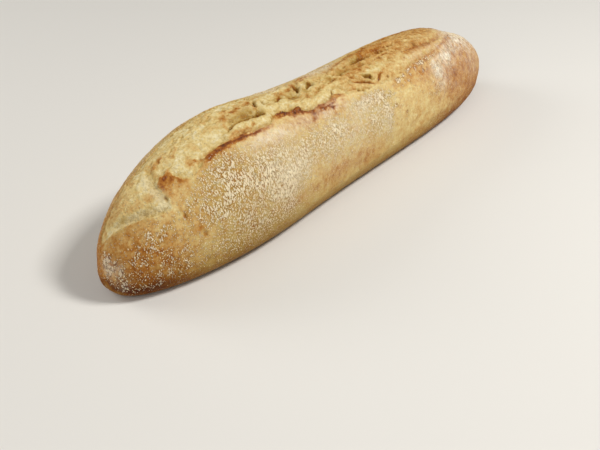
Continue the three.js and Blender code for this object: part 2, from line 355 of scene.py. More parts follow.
# Browning: 0 is raw pale dough, 1 is dark; plain levels along the loaf and what the patches and strokes add
CRUST_BAKE = [
    (-185, 0.52), (-160, 0.44), (-148, 0.37), (-135, 0.33), (-100, 0.31), (-40, 0.245), (40, 0.24),
    (50, 0.28), (80, 0.36), (110, 0.53), (140, 0.62), (185, 0.50),
]
DOUGH_BAKE = [
    (-185, 0.32), (-160, 0.27), (-146, 0.20), (-110, 0.20), (-60, 0.22), (-20, 0.22), (10, 0.31), (45, 0.42),
    (100, 0.47), (150, 0.48),
]
CRUST_BROWNED = [
    Patch(76, -27, 14, 6, 0.14),
    Patch(55, -28, 9, 6, 0.09),
    Patch(110, -42, 9, 7, 0.08),
    Patch(-95, -42, 38, 12, -0.05),
    Patch(97, -63, 24, 9, -0.09),
    Patch(119, -60, 18, 9, -0.11),
    # These two darken the underside of the near tip: partly browning, partly painted shade
    Patch(-179, -66, 12, 16, 0.08),
    Patch(-164, -70, 10, 8, 0.08),
    Patch(-166, -50, 12, 12, 0.10),
    Patch(-160, -26, 13, 8, -0.04),
    Patch(-149, -31, 3, 5, -0.12),
    Patch(-142.3, -8.8, 5.4, 4.8, 0.47),
    Patch(-138.4, -14, 2.2, 4.0, 0.26),
    Patch(-140.5, -17.5, 1, 1, 0.14),
    Patch(-146.3, -34, 1.2, 2.6, 0.22),
    Patch(-141, -46, 3, 5, 0.16),
    Patch(-139, -51.5, 1.2, 1.6, 0.22),
    Patch(-108, -68, 46, 12, -0.10),
    Patch(-70, -61, 22, 2.4, 0.22),
    Patch(-20, -60, 28, 5, 0.22),
    Patch(10, -63, 14, 5, 0.18),
    Patch(-74, -28, 8, 4, 0.10),
    Patch(-46, -23.5, 24, 4, 0.20),
    Patch(-35, -25.4, 2, 1.2, 0.26),
    Patch(-12.5, -23.2, 1.8, 1, 0.20),
    Patch(-45, -17.2, 1.6, 0.8, 0.30),
    Patch(-48, -19, 1.4, 0.8, 0.20),
    Patch(-14, -24.5, 20, 4, 0.18),
    Patch(-4, -33, 2, 2, 0.08),
    Patch(50, -30, 4, 6, 0.08),
    Patch(64, -31, 12, 5, 0.08),
    Patch(85, -32, 8, 7, 0.08),
    Patch(104, -18, 24, 4, 0.06),
    Patch(119, -44.5, 3, 3.5, 0.24),
    Patch(115, -38.5, 4, 2, 0.14),
    Patch(124, -50, 10, 10, 0.08),
    Patch(135, -40, 6, 8, 0.16),
    Patch(112, -55, 8, 5, 0.08),
    Patch(0, 52, 170, 34, 0.12),
    Patch(-165, 58, 16, 16, 0.10),
    Patch(-40, 66, 40, 7, 0.12),
    Patch(-62, 34, 30, 8, 0.08),
    Patch(20, 36, 26, 8, 0.08),
    Patch(96, 62, 26, 10, 0.12),
    Patch(150, 44, 14, 20, 0.10),
]
DOUGH_BROWNED = [
    Patch(-173, -2, 5, 5, 0.06),
    Patch(-164, -6, 6, 5, 0.07),
    Patch(-155.5, -10, 3, 4, 0.20),
    Patch(-154, 10, 3, 3, 0.10),
    Patch(-112, -9, 10, 5, -0.04),
    Patch(-126, -11, 6, 5, 0.12),
    Patch(-132, -11, 4, 6, -0.08),
    Patch(34, -15, 4, 4, -0.16),
    Patch(43, 1, 8, 2.4, -0.14),
    Patch(23, -2, 8, 2, -0.10),
    Patch(68, -2, 8, 2, -0.12),
    Patch(-84, -6, 5, 1.6, 0.10),
    Patch(-92, -3, 4, 3, 0.08),
    Patch(-80, 6, 16, 5, -0.11),
    Patch(-167, 6, 10, 8, 0.10),
    Patch(-156, -8, 5, 3.5, 0.14),
    Patch(-132, -11, 5, 5, -0.12),
    Patch(-126, -10, 3, 2.2, 0.12),
    Patch(-130, 0, 4, 2, 0.08),
    Patch(-45, -12, 12, 4, -0.06),
    Patch(-30, -14, 12, 4, -0.06),
    Patch(44, -14, 6, 4, -0.12),
    Patch(72, -16.5, 7, 4.5, -0.22),
    Patch(28, -8, 10, 4, 0.06),
    Patch(60, 6, 20, 6, 0.18),
    Patch(100, -12.5, 18, 3, 0.10),
    Patch(118, 2, 20, 5, 0.06),
]
BROWN_STROKES = [
    Stroke([(-179, 11), (-174, 3), (-168, -7), (-160, -16), (-152, -20)], 2.6, 2.6, -0.13),
    Stroke([(-149, 4), (-149, -6), (-151, -18)], 2.6, 2.6, -0.11),
    Stroke([(-178, 7), (-172, -4), (-166, -12), (-160, -17), (-153, -21)], 3.4, 3.4, -0.28),
    Stroke([(-151.5, -20), (-151, -10), (-149.5, -2), (-147, 2)], 2.6, 2.4, -0.26),
    Stroke([(-141, 4.2), (-138, 4.8), (-134, 5.6)], 1.5, 1.2, 0.40),
    Stroke([(-130, -0.5), (-127, 1.2), (-124, 2.4)], 1.2, 1.0, 0.22),
    Stroke([(-127.4, -11), (-126, -8.5)], 1.7, 1.5, 0.34),
    Stroke([(-124, -11.5), (-122.5, -13), (-120.5, -14)], 1.2, 1.2, 0.40),
    Stroke([(-118, -12.6), (-113, -13), (-108, -13)], 0.6, 0.6, 0.14),
    Stroke([(-98, -13.6), (-93, -12.6), (-88, -13.2), (-83, -14), (-78, -13.2)], 1.3, 1.0, 0.26),
    Stroke([(-95, -12.2), (-91, -12)], 0.6, 0.6, 0.24),
    Stroke([(-99, -15.6), (-92, -16.2), (-85, -16.6), (-80, -17.4)], 0.8, 0.6, -0.50),
    Stroke([(-79.5, -13.2), (-77.6, -12.8)], 0.6, 0.6, 0.28),
    Stroke([(-80.5, 0.2), (-77, 0.8), (-74, 1.4)], 1.4, 1.2, 0.52),
    Stroke([(-92, -2), (-88, 1), (-84, 3)], 1.2, 1.2, 0.22),
    Stroke([(-73, 1.2), (-68, 2.4), (-62, 3.6)], 1.0, 1.2, 0.28),
    # Paler stroke on the tops of the lumps: painted highlight
    Stroke([(-85, 6.4), (-80, 7.6), (-75, 4.6)], 1.0, 1.0, -0.20),
    Stroke([(-94, -6), (-91, -3.5), (-89, -1)], 1.2, 1.0, 0.26),
    Stroke([(-95, -9), (-93.5, -5.5)], 0.9, 0.9, 0.18),
    Stroke([(-65.5, 1.6), (-63, 2.6), (-61.5, 3.6)], 0.8, 0.8, 0.34),
    Stroke([(-66, -4.5), (-64, -3), (-62.4, -0.5)], 1.3, 1.1, 0.42),
    Stroke([(-78, 3.4), (-70, 5), (-64, 6)], 0.8, 1.0, 0.26),
    Stroke([(-100.5, 3.2), (-98.5, 3.4)], 0.8, 0.8, 0.18),
    Stroke([(-116.5, 0), (-114.5, 0.6)], 1.0, 1.0, 0.14),
    Stroke([(-113.5, 4), (-110, 5.5)], 1.0, 1.0, 0.14),
    Stroke([(-58, 6), (-52, 5.5), (-46, 5)], 1.2, 1.2, 0.16),
    Stroke([(-50, 1.4), (-45, 2.8)], 0.6, 0.6, 0.18),
    Stroke([(-56, -5.5), (-53, -5)], 0.8, 0.8, 0.14),
    Stroke([(-38, 0.8), (-33, 1.4), (-28, 2), (-22, 4)], 1.8, 1.4, 0.48),
    Stroke([(-41.5, -1), (-39, -0.2)], 0.6, 0.6, 0.28),
    Stroke([(-24.5, -0.5), (-21, 2), (-18, 5)], 1.0, 1.0, 0.32),
    Stroke([(-14, 5), (-9, 7), (-5, 9)], 0.6, 0.6, 0.32),
    Stroke([(-10.5, 5.4), (-6, 7)], 0.5, 0.5, 0.22),
    Stroke([(-36.5, -9.4), (-34.5, -10.4)], 0.7, 0.7, 0.22),
    Stroke([(-24.5, -9.8), (-21, -10.2)], 0.7, 0.7, 0.28),
    Stroke([(-13, -9.4), (-9, -9), (-5, -7.6), (0, -7), (6, -6.8)], 0.7, 0.7, 0.24),
    Stroke([(-3.2, -13.6), (-1.6, -11.2)], 0.5, 0.4, 0.42),
    Stroke([(-6, 9), (0, 10.4), (6, 10.6)], 2.0, 2.0, 0.34),
    Stroke([(-20, 5), (-14, 8), (-8, 10)], 1.6, 1.6, 0.24),
    Stroke([(19, -14.4), (25, -16.8), (29, -19.2), (32.6, -21.4)], 1.0, 1.3, 0.46),
    Stroke([(38.6, -22), (41, -20.2), (43.4, -18.4), (47, -17.2)], 1.2, 1.0, 0.40),
    Stroke([(26, -17.8), (28.5, -18.8), (30.5, -20.4)], 0.7, 0.7, 0.22),
    Stroke([(40, -21.2), (41.8, -19.6)], 0.8, 0.8, 0.24),
    Stroke([(33.2, -9.2), (35.6, -10.6)], 1.2, 1.2, 0.24),
    Stroke([(20.5, -7.5), (21.5, -10), (23, -13)], 1.0, 1.0, 0.20),
    Stroke([(17.8, 1.8), (20, 3.2), (22.5, 5)], 1.0, 1.0, 0.44),
    Stroke([(26, 6), (36, 8), (46, 9.5)], 1.6, 2.0, 0.24),
    Stroke([(50, 3), (53, 5), (57, 8)], 2.2, 1.9, 0.46),
    Stroke([(45, 8), (52, 11)], 1.5, 1.5, 0.34),
    Stroke([(61, 7.4), (64, 9.6), (67, 12)], 2.0, 1.8, 0.48),
    Stroke([(59.5, 1), (63, 2)], 1.1, 1.1, 0.34),
    Stroke([(65, 0.8), (70, 1.8)], 1.1, 1.1, 0.36),
    Stroke([(73, 2), (78, 4.2), (82, 5)], 2.2, 2.0, 0.42),
    Stroke([(36, -1.2), (40, -2.2), (43, -3)], 1.2, 1.2, 0.16),
    Stroke([(61.5, -6), (65, -4.8), (68, -5.2), (69.8, -7)], 0.7, 0.7, 0.30),
    Stroke([(51, -6), (56, -6)], 0.7, 0.7, 0.14),
    Stroke([(9.5, -17.8), (13.5, -18.6)], 0.7, 0.7, 0.24),
    Stroke([(38, -12), (46, -13), (54, -12)], 3.0, 3.0, -0.10),
    Stroke([(18, -5.5), (26, -6.5), (34, -5.5)], 0.9, 0.9, 0.16),
    Stroke([(30, -9), (32, -7.6), (36, -7.4)], 0.8, 0.8, 0.16),
    Stroke([(44, -18.2), (49, -16.6)], 1.4, 1.2, 0.18),
    Stroke([(5, -7), (12, -8)], 0.8, 0.8, 0.14),
    Stroke([(84, -10.6), (92, -11), (98, -11.2)], 0.8, 0.8, 0.12),
    Stroke([(82, -12.5), (92, -12.5), (104, -13), (116, -13)], 2.8, 3.2, 0.26),
    Stroke([(112, -12.4), (124, -11.6), (132, -8.2), (141, -4.5)], 1.4, 1.2, 0.22),
    Stroke([(78, -3), (81, -6)], 0.9, 0.9, 0.18),
    Stroke([(119, 5.5), (125, 8)], 1.6, 1.6, 0.22),
    Stroke([(116, -2.4), (122, -3.6)], 1.4, 1.4, 0.14),
    Stroke([(75, -23.6), (90, -22.6), (108, -21)], 0.8, 0.8, 0.06),
]
# Blotches that break up the browning, and flecks on the dough
BLOTCHES = [(0.7, Noise(3.0, 3, 53.0))]
FLECKS = Noise(1.8, 2, 113.0, 1.8)
FLECK_BROWNING = 0.22
FLECKS_ON_SMOOTH = 0.5
# Strings and folds of the dough brown more; the rims of cracks are paler, a painted highlight
STRING_BROWNING = 0.14
STRING_BROWNS_OVER = 0.5
FOLD_BROWNING = 0.08
RIM_PAINTED_HIGHLIGHT = 0.08
# Darkest dough, and the level over which browned spots of the crust darken more slowly
DOUGH_DARKEST = 0.72
SPOT_SHOULDER = 0.62
SPOT_SHARE = 0.45
# Scorched edge of the lip: ragged band, faint glow beside it and a short reach into the dough
EAR_RAGGED = Noise(1.8, 2, 29.0, 2.0)
EAR_EVEN = 0.9
EAR_BY_FOLDS = 0.5
EAR_BY_RAGGED = 0.5
EAR_FULL_SHARE = 0.45
EAR_GLOW = 6.0
EAR_GLOW_SHARE = 0.14
EAR_INNER = 0.6
EAR_MOTTLE = 0.5
EAR_FOLD_MOTTLE = 0.35
EAR_DARKEST = 0.93
EAR_ENDS_AT = 5

# Flour dusted on the crust: share of the surface that its grains cover
FLOUR_BASE = 0.026
FLOUR = [
    Patch(2, -46, 30, 10, 0.10),
    Patch(55.6, -28.7, 3.5, 2.2, 0.60),
    Patch(69, -26.5, 4, 2, 0.50),
    Patch(85, -25, 3.5, 2, 0.45),
    Patch(-78, -44, 20, 14, 0.85),
    Patch(-112, -33, 20, 14, 0.75),
    Patch(-120, -44, 10, 7, 0.25),
    Patch(-45, -40, 22, 12, 0.42),
    Patch(-15, -38, 22, 12, 0.40),
    Patch(20, -40, 18, 11, 0.36),
    Patch(4, -52, 38, 8, 0.13),
    Patch(15, -29, 14, 4, 0.60),
    Patch(30, -31, 7, 4, 0.50),
    Patch(15, -45, 5, 4, 0.40),
    Patch(33, -45, 4, 11, 0.50),
    Patch(40, -34, 4, 2.5, 0.60),
    Patch(42, -42.5, 2.5, 1.5, 0.60),
    Patch(56, -28.5, 2.2, 1.6, 0.90),
    Patch(61, -27, 1.6, 1.2, 0.60),
    Patch(72, -26.5, 6, 1.8, 0.70),
    Patch(62, -33, 3, 1.4, 0.60),
    Patch(57, -33, 1.4, 1, 0.50),
    Patch(83.5, -31, 2, 1.4, 0.70),
    Patch(92, -24, 14, 1.8, 0.50),
    Patch(100, -33.5, 6, 6, 0.50),
    Patch(116, -31, 7, 6, 0.45),
    Patch(95, -46, 14, 8, 0.20),
    Patch(128, -25, 8, 5, 0.25),
    Patch(150, -14, 14, 14, 0.35),
    Patch(166, 10, 20, 30, 0.35),
    Patch(-184, -18, 1.4, 36, 0.85),
    Patch(-181, -48, 2.5, 11, 0.45),
    Patch(-175, -46, 3, 12, 0.26),
    Patch(-181.5, -67, 3.5, 14, 0.26),
    Patch(-172, -72, 6, 8, 0.24),
    Patch(-163, -33, 12, 10, 0.18),
    Patch(-168, -36, 7, 8, 0.16),
    Patch(-106, -59, 36, 12, 0.44),
    Patch(-138, -40, 10, 12, 0.16),
    Patch(-160, -57, 10, 10, 0.20),
    Patch(-168, -60, 12, 10, 0.15),
    Patch(-142.5, -10, 6, 7, -1.2),
    Patch(-40, 11, 16, 4, 0.60),
    Patch(18, 12, 16, 5, 0.60),
    Patch(-110, 18, 40, 4, 0.25),
    Patch(0, 60, 160, 34, 0.18),
    Patch(-84, 44, 34, 14, 0.45),
    Patch(-10, 52, 26, 16, 0.22),
    Patch(60, 40, 30, 12, 0.40),
    Patch(128, 52, 20, 18, 0.18),
]
# How much the grains gather in flecks: (along, share)
FLOUR_GATHERS = [(-185, 2.4), (-150, 2.2), (-128, 0.6), (40, 0.6), (60, 2.5), (185, 3.0)]
FLOUR_UNEVEN = [(0.5, Noise(14.0, 2, 71.0)), (0.3, Noise(4.5, 2, 83.0))]
FLOUR_CLUSTERS = Noise(3.0, 2, 97.0)
# Thin film of flour, which is gone from dark crust
FILM = [
    Patch(-74, -45, 20, 12, 0.50),
    Patch(-8, -42, 40, 16, 0.28),
    Patch(15, -30, 13, 4, 0.38),
    Patch(33, -46, 4, 10, 0.30),
    Patch(99, -33, 5, 6, 0.58),
    Patch(109, -27.5, 5, 3, 0.46),
    Patch(117, -31, 5, 6, 0.54),
    Patch(100, -44, 6, 7, 0.30),
    Patch(126, -22, 10, 5, 0.34),
    Patch(124, -36, 44, 22, 0.22),
    Patch(150, -14, 14, 12, 0.78),
    Patch(165, 4, 16, 30, 0.72),
    Patch(-184.2, -14, 1.1, 34, 0.35),
    Patch(152, -44, 20, 14, 0.13),
    Patch(136, -27, 12, 7, 0.24),
    Patch(-182.5, -42, 1.4, 10, 0.30),
    Patch(-182, -66, 3, 12, 0.12),
    Patch(-36, 10, 14, 4, 0.34),
    Patch(14, 11, 14, 5, 0.34),
    Patch(98, -17.5, 22, 3, 0.20),
    Patch(-151, -11, 3, 9, 0.22),
    Patch(-15, -22.5, 16, 3.5, 0.30),
    Patch(-78, -23.5, 20, 5, 0.36),
    Patch(-45, -24, 24, 4, 0.28),
]
FILM_UNEVEN = [(0.7, Noise(3.0, 2, 89.0))]
FILM_THINS_FROM = 0.55
FILM_GONE_AT = 0.85
# Bare crust beside the lip: distance from the edge where flour begins and where it is full, in (along, mm)
LIP_SIDE_TO = 7
BARE_FROM = [
    (-190, 0.5), (-142, 2.5), (-132, 0.4), (-120, 0.5), (-108, 2.6), (0, 3.5), (15, 0.5),
    (150, 0.2),
]
BARE_TO = [
    (-190, 3.0), (-142, 5.5), (-132, 2.6), (-120, 3.0), (-106, 6.0), (-90, 7.0), (-20, 8.5), (0, 7.0),
    (15, 2.0), (150, 1.5),
]

# Grains of flour: how many are thrown, smallest and largest width, and distance between those that stay
CLUMPS = 9500
CLUMP_SMALLEST = 0.6
CLUMP_LARGEST = 1.1
CLUMP_SPACING = 0.95
GRAINS = 20800
GRAIN_SMALLEST = 0.4
GRAIN_LARGEST = 0.8
GRAIN_SPACING = 0.7
# How strongly grains keep to thick flour, and the lowest way a face that holds some may look
FLOUR_GATHERING = 1.3
LOWEST_NORMAL = -0.5
# Shape of a grain: how rare large ones are, its turn, least and most of its sizes, and its flat top
GRAIN_RARITY = 1.5
GRAIN_TURN = 0.5
GRAIN_LENGTHS = (0.8, 1.8)
GRAIN_HEIGHTS = (0.7, 1.3)
GRAIN_KNOBS = (0.55, 1.35)
GRAIN_FLATNESS = 0.4
GRAIN_SUNK_SHARE = 0.35
GRAIN_TOP_FROM = 0.1
GRAIN_TAPER = 0.85
# Grains are smaller where flour lies thinly; the low rim of each is tinted amber, partly crust showing
# through and partly painted warm shade
THIN_FLOUR_SIZE = 0.55
THICK_FLOUR = 0.35
GRAIN_THIN_BELOW = 0.9
CRUST_AND_SHADE_SHOW = 0.55

# Crust colour: size of the mottling in mm and how far it shifts the browning
CRUST_MOTTLE = [(24.0, 0.30), (5.0, 0.60), (1.5, 0.50)]
MOTTLE_DETAIL = 3.0
MOTTLE_ROUGHNESS = 0.6
NOISE_MIDDLE = 0.5
# Crust surface: size of the grain in mm and its share of the bump
CRUST_GRAIN = [(3.2, 0.8), (0.9, 0.6)]
CRUST_GRAIN_DETAIL = 3.0
CRUST_GRAIN_ROUGHNESS = 0.65
CRUST_BUMP = 1.0
BUMP_HEIGHT = 0.5
CRUST_ROUGHNESS = 0.66
CRUST_IOR = 1.45
CRUST_SPECULAR = 0.15
# Open crumb of the dough: size of its pores in mm, their share of the bump and how much painted shade
# darkens them
CRUMB_SIZE = 1.3
CRUMB_DETAIL = 2.0
CRUMB_ROUGHNESS = 0.6
CRUMB_BUMP = 1.1
CRUMB_SHADE = 0.45
# Painted shade: how many times its tint is multiplied in, once per bounce of light between the walls of a
# crack, and how much deeper its darkest places get
HOLLOW_BOUNCES = 4
HOLLOW_DEEPENS = 0.25
# Powdered flour: size of its granules in mm, their reach on bare and on fully floured crust, and their bump
GRANULE_SIZE = 1.3
GRANULE_STRETCH = (1.5, 0.6, 0.6)
GRANULE_BARE = 0.20
GRANULE_FULL = 0.66
GRANULE_EDGE = 0.10
GRANULE_COVER = 0.56
# Painted shade in the gaps between granules
GRANULE_GAP = 0.50
GRANULE_BUMP = 2.0
# Film of flour: how full it is in the middle of a granule and how it thins towards its edge
FILM_FULL = 1.5
FILM_THINS = -1.2
# Loose flour: size of its change of tint in mm
FLOUR_TINT_SIZE = 2.0
FLOUR_TINT_DETAIL = 1.0
FLOUR_ROUGHNESS = 0.95
FLOUR_SPECULAR = 0.2

# Camera: lens and sensor, distance, turn and lift in degrees, and its aim beside the middle of the loaf
CAMERA_LENS = 55.0
CAMERA_SENSOR = 36.0
CAMERA_NEAREST = 10.0
CAMERA_DISTANCE = 621.6
CAMERA_AZIMUTH = 49.53
CAMERA_ELEVATION = 34.5
AIM_RIGHT = -11.5
AIM_UP = -66.2

# Floor, just under the loaf's base
FLOOR_SIZE = 14000.0
FLOOR_GAP = 0.2
FLOOR_ROUGHNESS = 0.8
FLOOR_SPECULAR = 0.2

# Soft boxes: place and width in metres, power in watts
SoftBox = namedtuple("SoftBox", "name place width power")
SOFT_BOXES = [
    SoftBox("key", (0.4, -0.65, 1.0), 0.28, 12.9),
    SoftBox("fill", (-1.0, -0.4, 0.8), 0.8, 4.4),
    SoftBox("top", (-0.2, 0.5, 1.2), 0.9, 0.6),
    SoftBox("back", (-0.5, 1.05, 0.62), 0.7, 5.8),
]
ROOM_LIGHT = 0.14
WHITE = (1.0, 1.0, 1.0, 1.0)


def linear(code):
    """Linear colour of an sRGB hex code."""
    shares = [int(code[i:i + 2], 16) / 255 for i in (1, 3, 5)]
    return tuple(v / 12.92 if v <= 0.04045 else ((v + 0.055) / 1.055) ** 2.4 for v in shares)


def colour(title, words, code):
    """Colour property that starts at an sRGB hex code."""
    return bpy.props.FloatVectorProperty(
        name=title, description=words, subtype="COLOR", size=3, min=0.0, max=1.0, default=linear(code))


def length(title, words, millimetres):
    """Length property that starts at a size in mm."""
    return bpy.props.FloatProperty(
        name=title, description=words, default=millimetres * MM, min=0.0, precision=5, unit="LENGTH")


class BaguetteSizes(bpy.types.PropertyGroup):
    """Sizes of the loaf's surface detail"""
    lip_scale: bpy.props.FloatProperty(
        name="Lip", description="How far the lip of crust stands up, as a share of its full rise",
        default=1.0, min=0.0, max=2.0, subtype="FACTOR")
    tear_scale: bpy.props.FloatProperty(
        name="Tearing", description="Roughness of the opened dough, as a share of its full depth",
        default=1.0, min=0.0, max=2.0, subtype="FACTOR")
    clumps: bpy.props.IntProperty(
        name="Flour clumps", description="Number of coarse clumps thrown", default=CLUMPS, min=0, max=CLUMPS)
    grains: bpy.props.IntProperty(
        name="Flour grains", description="Number of fine grains thrown", default=GRAINS, min=0, max=GRAINS)
    clump_size: length("Clump size", "Width of the largest clumps of flour", CLUMP_LARGEST)
    grain_size: length("Grain size", "Width of the largest fine grains of flour", GRAIN_LARGEST)
    granule_size: length(
        "Granule size", "Width of the granules that powdered flour settles in", GRANULE_SIZE)


class BaguetteColours(bpy.types.PropertyGroup):
    """Colours of the crust, the opened dough, the flour and the floor"""
    raw: colour("Pale crust", "Dough or crust that took no colour", "#eadcb0")
    cream: colour("Cream crust", "Lightly baked crust", "#dfc88a")
    golden: colour("Golden crust", "Crust of an even bake", "#d0a867")
    amber: colour("Amber crust", "Well baked crust", "#b47933")
    brown: colour("Brown crust", "Crust at the ends and the lip", "#8b4a1b")
    dark: colour("Dark crust", "Scorched edge of the lip", "#55301c")
    # Tint of the painted shade, multiplied in once per bounce of light
    hollow: colour("Hollows", "Tint that light takes at each bounce in a crack", "#d2bc7c")
    flour: colour("Flour", "Wheat flour left on the crust", "#f9eed6")
    floor: colour("Floor", "Plain pale floor", "#dfdbd3")


def curve(points, positions):
    """Smooth curve through (position, value) pairs, level beyond the ends."""
    place, value = np.array(points, float).T
    before = np.maximum(np.arange(len(place)) - 1, 0)
    after = np.minimum(np.arange(len(place)) + 1, len(place) - 1)
    slope = (value[after] - value[before]) / (place[after] - place[before])
    inside = np.clip(positions, place[0], place[-1])
    i = np.clip(np.searchsorted(place, inside, side="right") - 1, 0, len(place) - 2)
    span = place[i + 1] - place[i]
    u = (inside - place[i]) / span
    v = 1 - u
    ends = v * v * (1 + 2 * u) * value[i] + u * u * (1 + 2 * v) * value[i + 1]
    return ends + u * v * span * (v * slope[i] - u * slope[i + 1])


def bell(offset, half):
    """Rounded rise of height 1 that has fallen to about a third at half."""
    return np.exp(-((offset / half) ** 2))


def smooth_step(low, high, value):
    """0 below low, 1 above high and smooth between."""
    u = np.clip((value - low) / (high - low), 0, 1)
    return u * u * (3 - 2 * u)


def signed_power(value, power):
    """Power that keeps the sign."""
    return np.sign(value) * np.abs(value) ** power


def noise_values(points, field):
    """Noise from about -1 to 1 with the size and stretch of a field."""
    places = points / (field.size * np.array([field.stretch, 1.0, 1.0])) + field.start
    octaves = field.octaves
    return np.array([noise.fractal(place, NOISE_FALL, NOISE_STEP, octaves) for place in places.tolist()])


def layered(points, layers, level=0.0):
    """A level with noise fields added to it, each by its share."""
    for share, field in layers:
        level = level + share * noise_values(points, field)
    return level


def patches(items, along, around):
    """Sum of patches over the surface."""
    total = np.zeros_like(along)
    for item in items:
        rise = bell(along - item.along, item.half_along) * bell(around - item.around, item.half_around)
        total += item.amount * rise
    return total


def nearest_on_path(path, along, around):
    """Distance to a path of (along, around) points, and the share of the path where its nearest point is."""
    best = np.full_like(along, np.inf)
    share = np.zeros_like(along)
    for i, ((x, s), (next_x, next_s)) in enumerate(zip(path, path[1:])):
        run_x = next_x - x
        run_s = next_s - s
        u = np.clip(((along - x) * run_x + (around - s) * run_s) / (run_x ** 2 + run_s ** 2), 0, 1)
        distance = np.hypot(along - x - u * run_x, around - s - u * run_s)
        closer = distance < best
        best = np.where(closer, distance, best)
        share = np.where(closer, (i + u) / (len(path) - 1), share)
    return best, share


def inside_outline(outline, along, around):
    """True where a point lies inside a closed outline."""
    inside = np.zeros(along.shape, bool)
    for (x, s), (next_x, next_s) in zip(outline, outline[1:] + outline[:1]):
        if s == next_s:
            continue
        crosses = (s > around) != (next_s > around)
        at = x + (around - s) / (next_s - s) * (next_x - x)
        inside ^= crosses & (along < at)
    return inside


def rope(offset, half):
    """Round-backed rise of height 1 with steep sides, gone at half."""
    return np.maximum(1 - (offset / half) ** 2, 0) ** STRAND_ROUNDNESS


def strokes(items, along, around, profile, blend):
    """Strokes of one profile over the surface, joined by a blend of two arrays."""
    total = np.zeros_like(along)
    for item in items:
        distance, share = nearest_on_path(item.path, along, around)
        half = item.half_start + (item.half_end - item.half_start) * share
        total = blend(total, item.amount * profile(distance, half))
    return total


def half_width_and_height(share):
    """Half-width and height of the plain loaf at a share of its half-length."""
    power = np.where(share < 0, LEFT_END_POWER, RIGHT_END_POWER)
    end = np.maximum(1 - np.abs(share) ** power, 0) ** (1 / END_ROUNDING)
    swell = bell(share * LENGTH / 2 - SWELL_AT, SWELL_LENGTH)
    half_width = HALF_WIDTH * end * (1 + SWELL_WIDTH_SHARE * swell)
    height = HEIGHT * end ** END_HEIGHT_POWER * (1 + SWELL_HEIGHT_SHARE * swell)
    return half_width, height


def plain_points(share, angle):
    """Points of the loaf before the relief; the angle runs from the crown, negative towards -Y."""
    half_width, height = half_width_and_height(share)
    upper = np.cos(angle) > 0
    power = 2 / np.where(upper, CROWN_POWER, FLANK_POWER)
    across = signed_power(np.sin(angle), power)
    rise = signed_power(np.cos(angle), power)
    reach = np.where(upper, 1 - WIDEST_AT_SHARE, WIDEST_AT_SHARE + BASE_TRIM_SHARE)
    lift = TIP_LIFT * (1 - np.minimum(height / HEIGHT, 1)) ** 2
    z = np.maximum(height * (WIDEST_AT_SHARE + reach * rise) + lift, 0)
    return np.stack([share * LENGTH / 2, half_width * across, z], -1)


def outward(share, angle):
    """Unit normals of the plain loaf."""
    along = plain_points(share + SLOPE_STEP, angle) - plain_points(share - SLOPE_STEP, angle)
    around = plain_points(share, angle + SLOPE_STEP) - plain_points(share, angle - SLOPE_STEP)
    normal = np.cross(along, around)
    return normal / np.maximum(np.linalg.norm(normal, axis=-1, keepdims=True), SMALLEST_NORMAL)


def even_shares(count):
    """Places along the loaf, as shares of its half-length, evenly spaced over the side outline."""
    share = np.sin(np.linspace(-0.5, 0.5, ARC_STEPS + 1) * math.pi)
    half_width, height = half_width_and_height(share)
    radius = (half_width + height) / 2
    steps = np.hypot(np.diff(share) * LENGTH / 2, np.diff(radius))
    arc = np.concatenate([[0], np.cumsum(steps)])
    return np.interp(arc[-1] * np.arange(1, count + 1) / (count + 1), arc, share)


def spread(count, even, growth):
    """Shares from 0 to 1 whose steps are even at first and then grow."""
    steps = growth ** np.maximum(np.arange(count) - even, 0.0)
    return np.concatenate([[0], np.cumsum(steps)]) / steps.sum()


def column_angles(line):
    """Angles round each section, from the middle of the base up the near side, over the crown and down."""
    near = spread(NEAR_COLUMNS, NEAR_EVEN, NEAR_GROWTH)[:0:-1]
    far = spread(FAR_COLUMNS, FAR_EVEN, FAR_GROWTH)[:-1]
    line = line[:, None]
    return np.concatenate([line - (math.pi + line) * near, line + (math.pi - line) * far], axis=1)


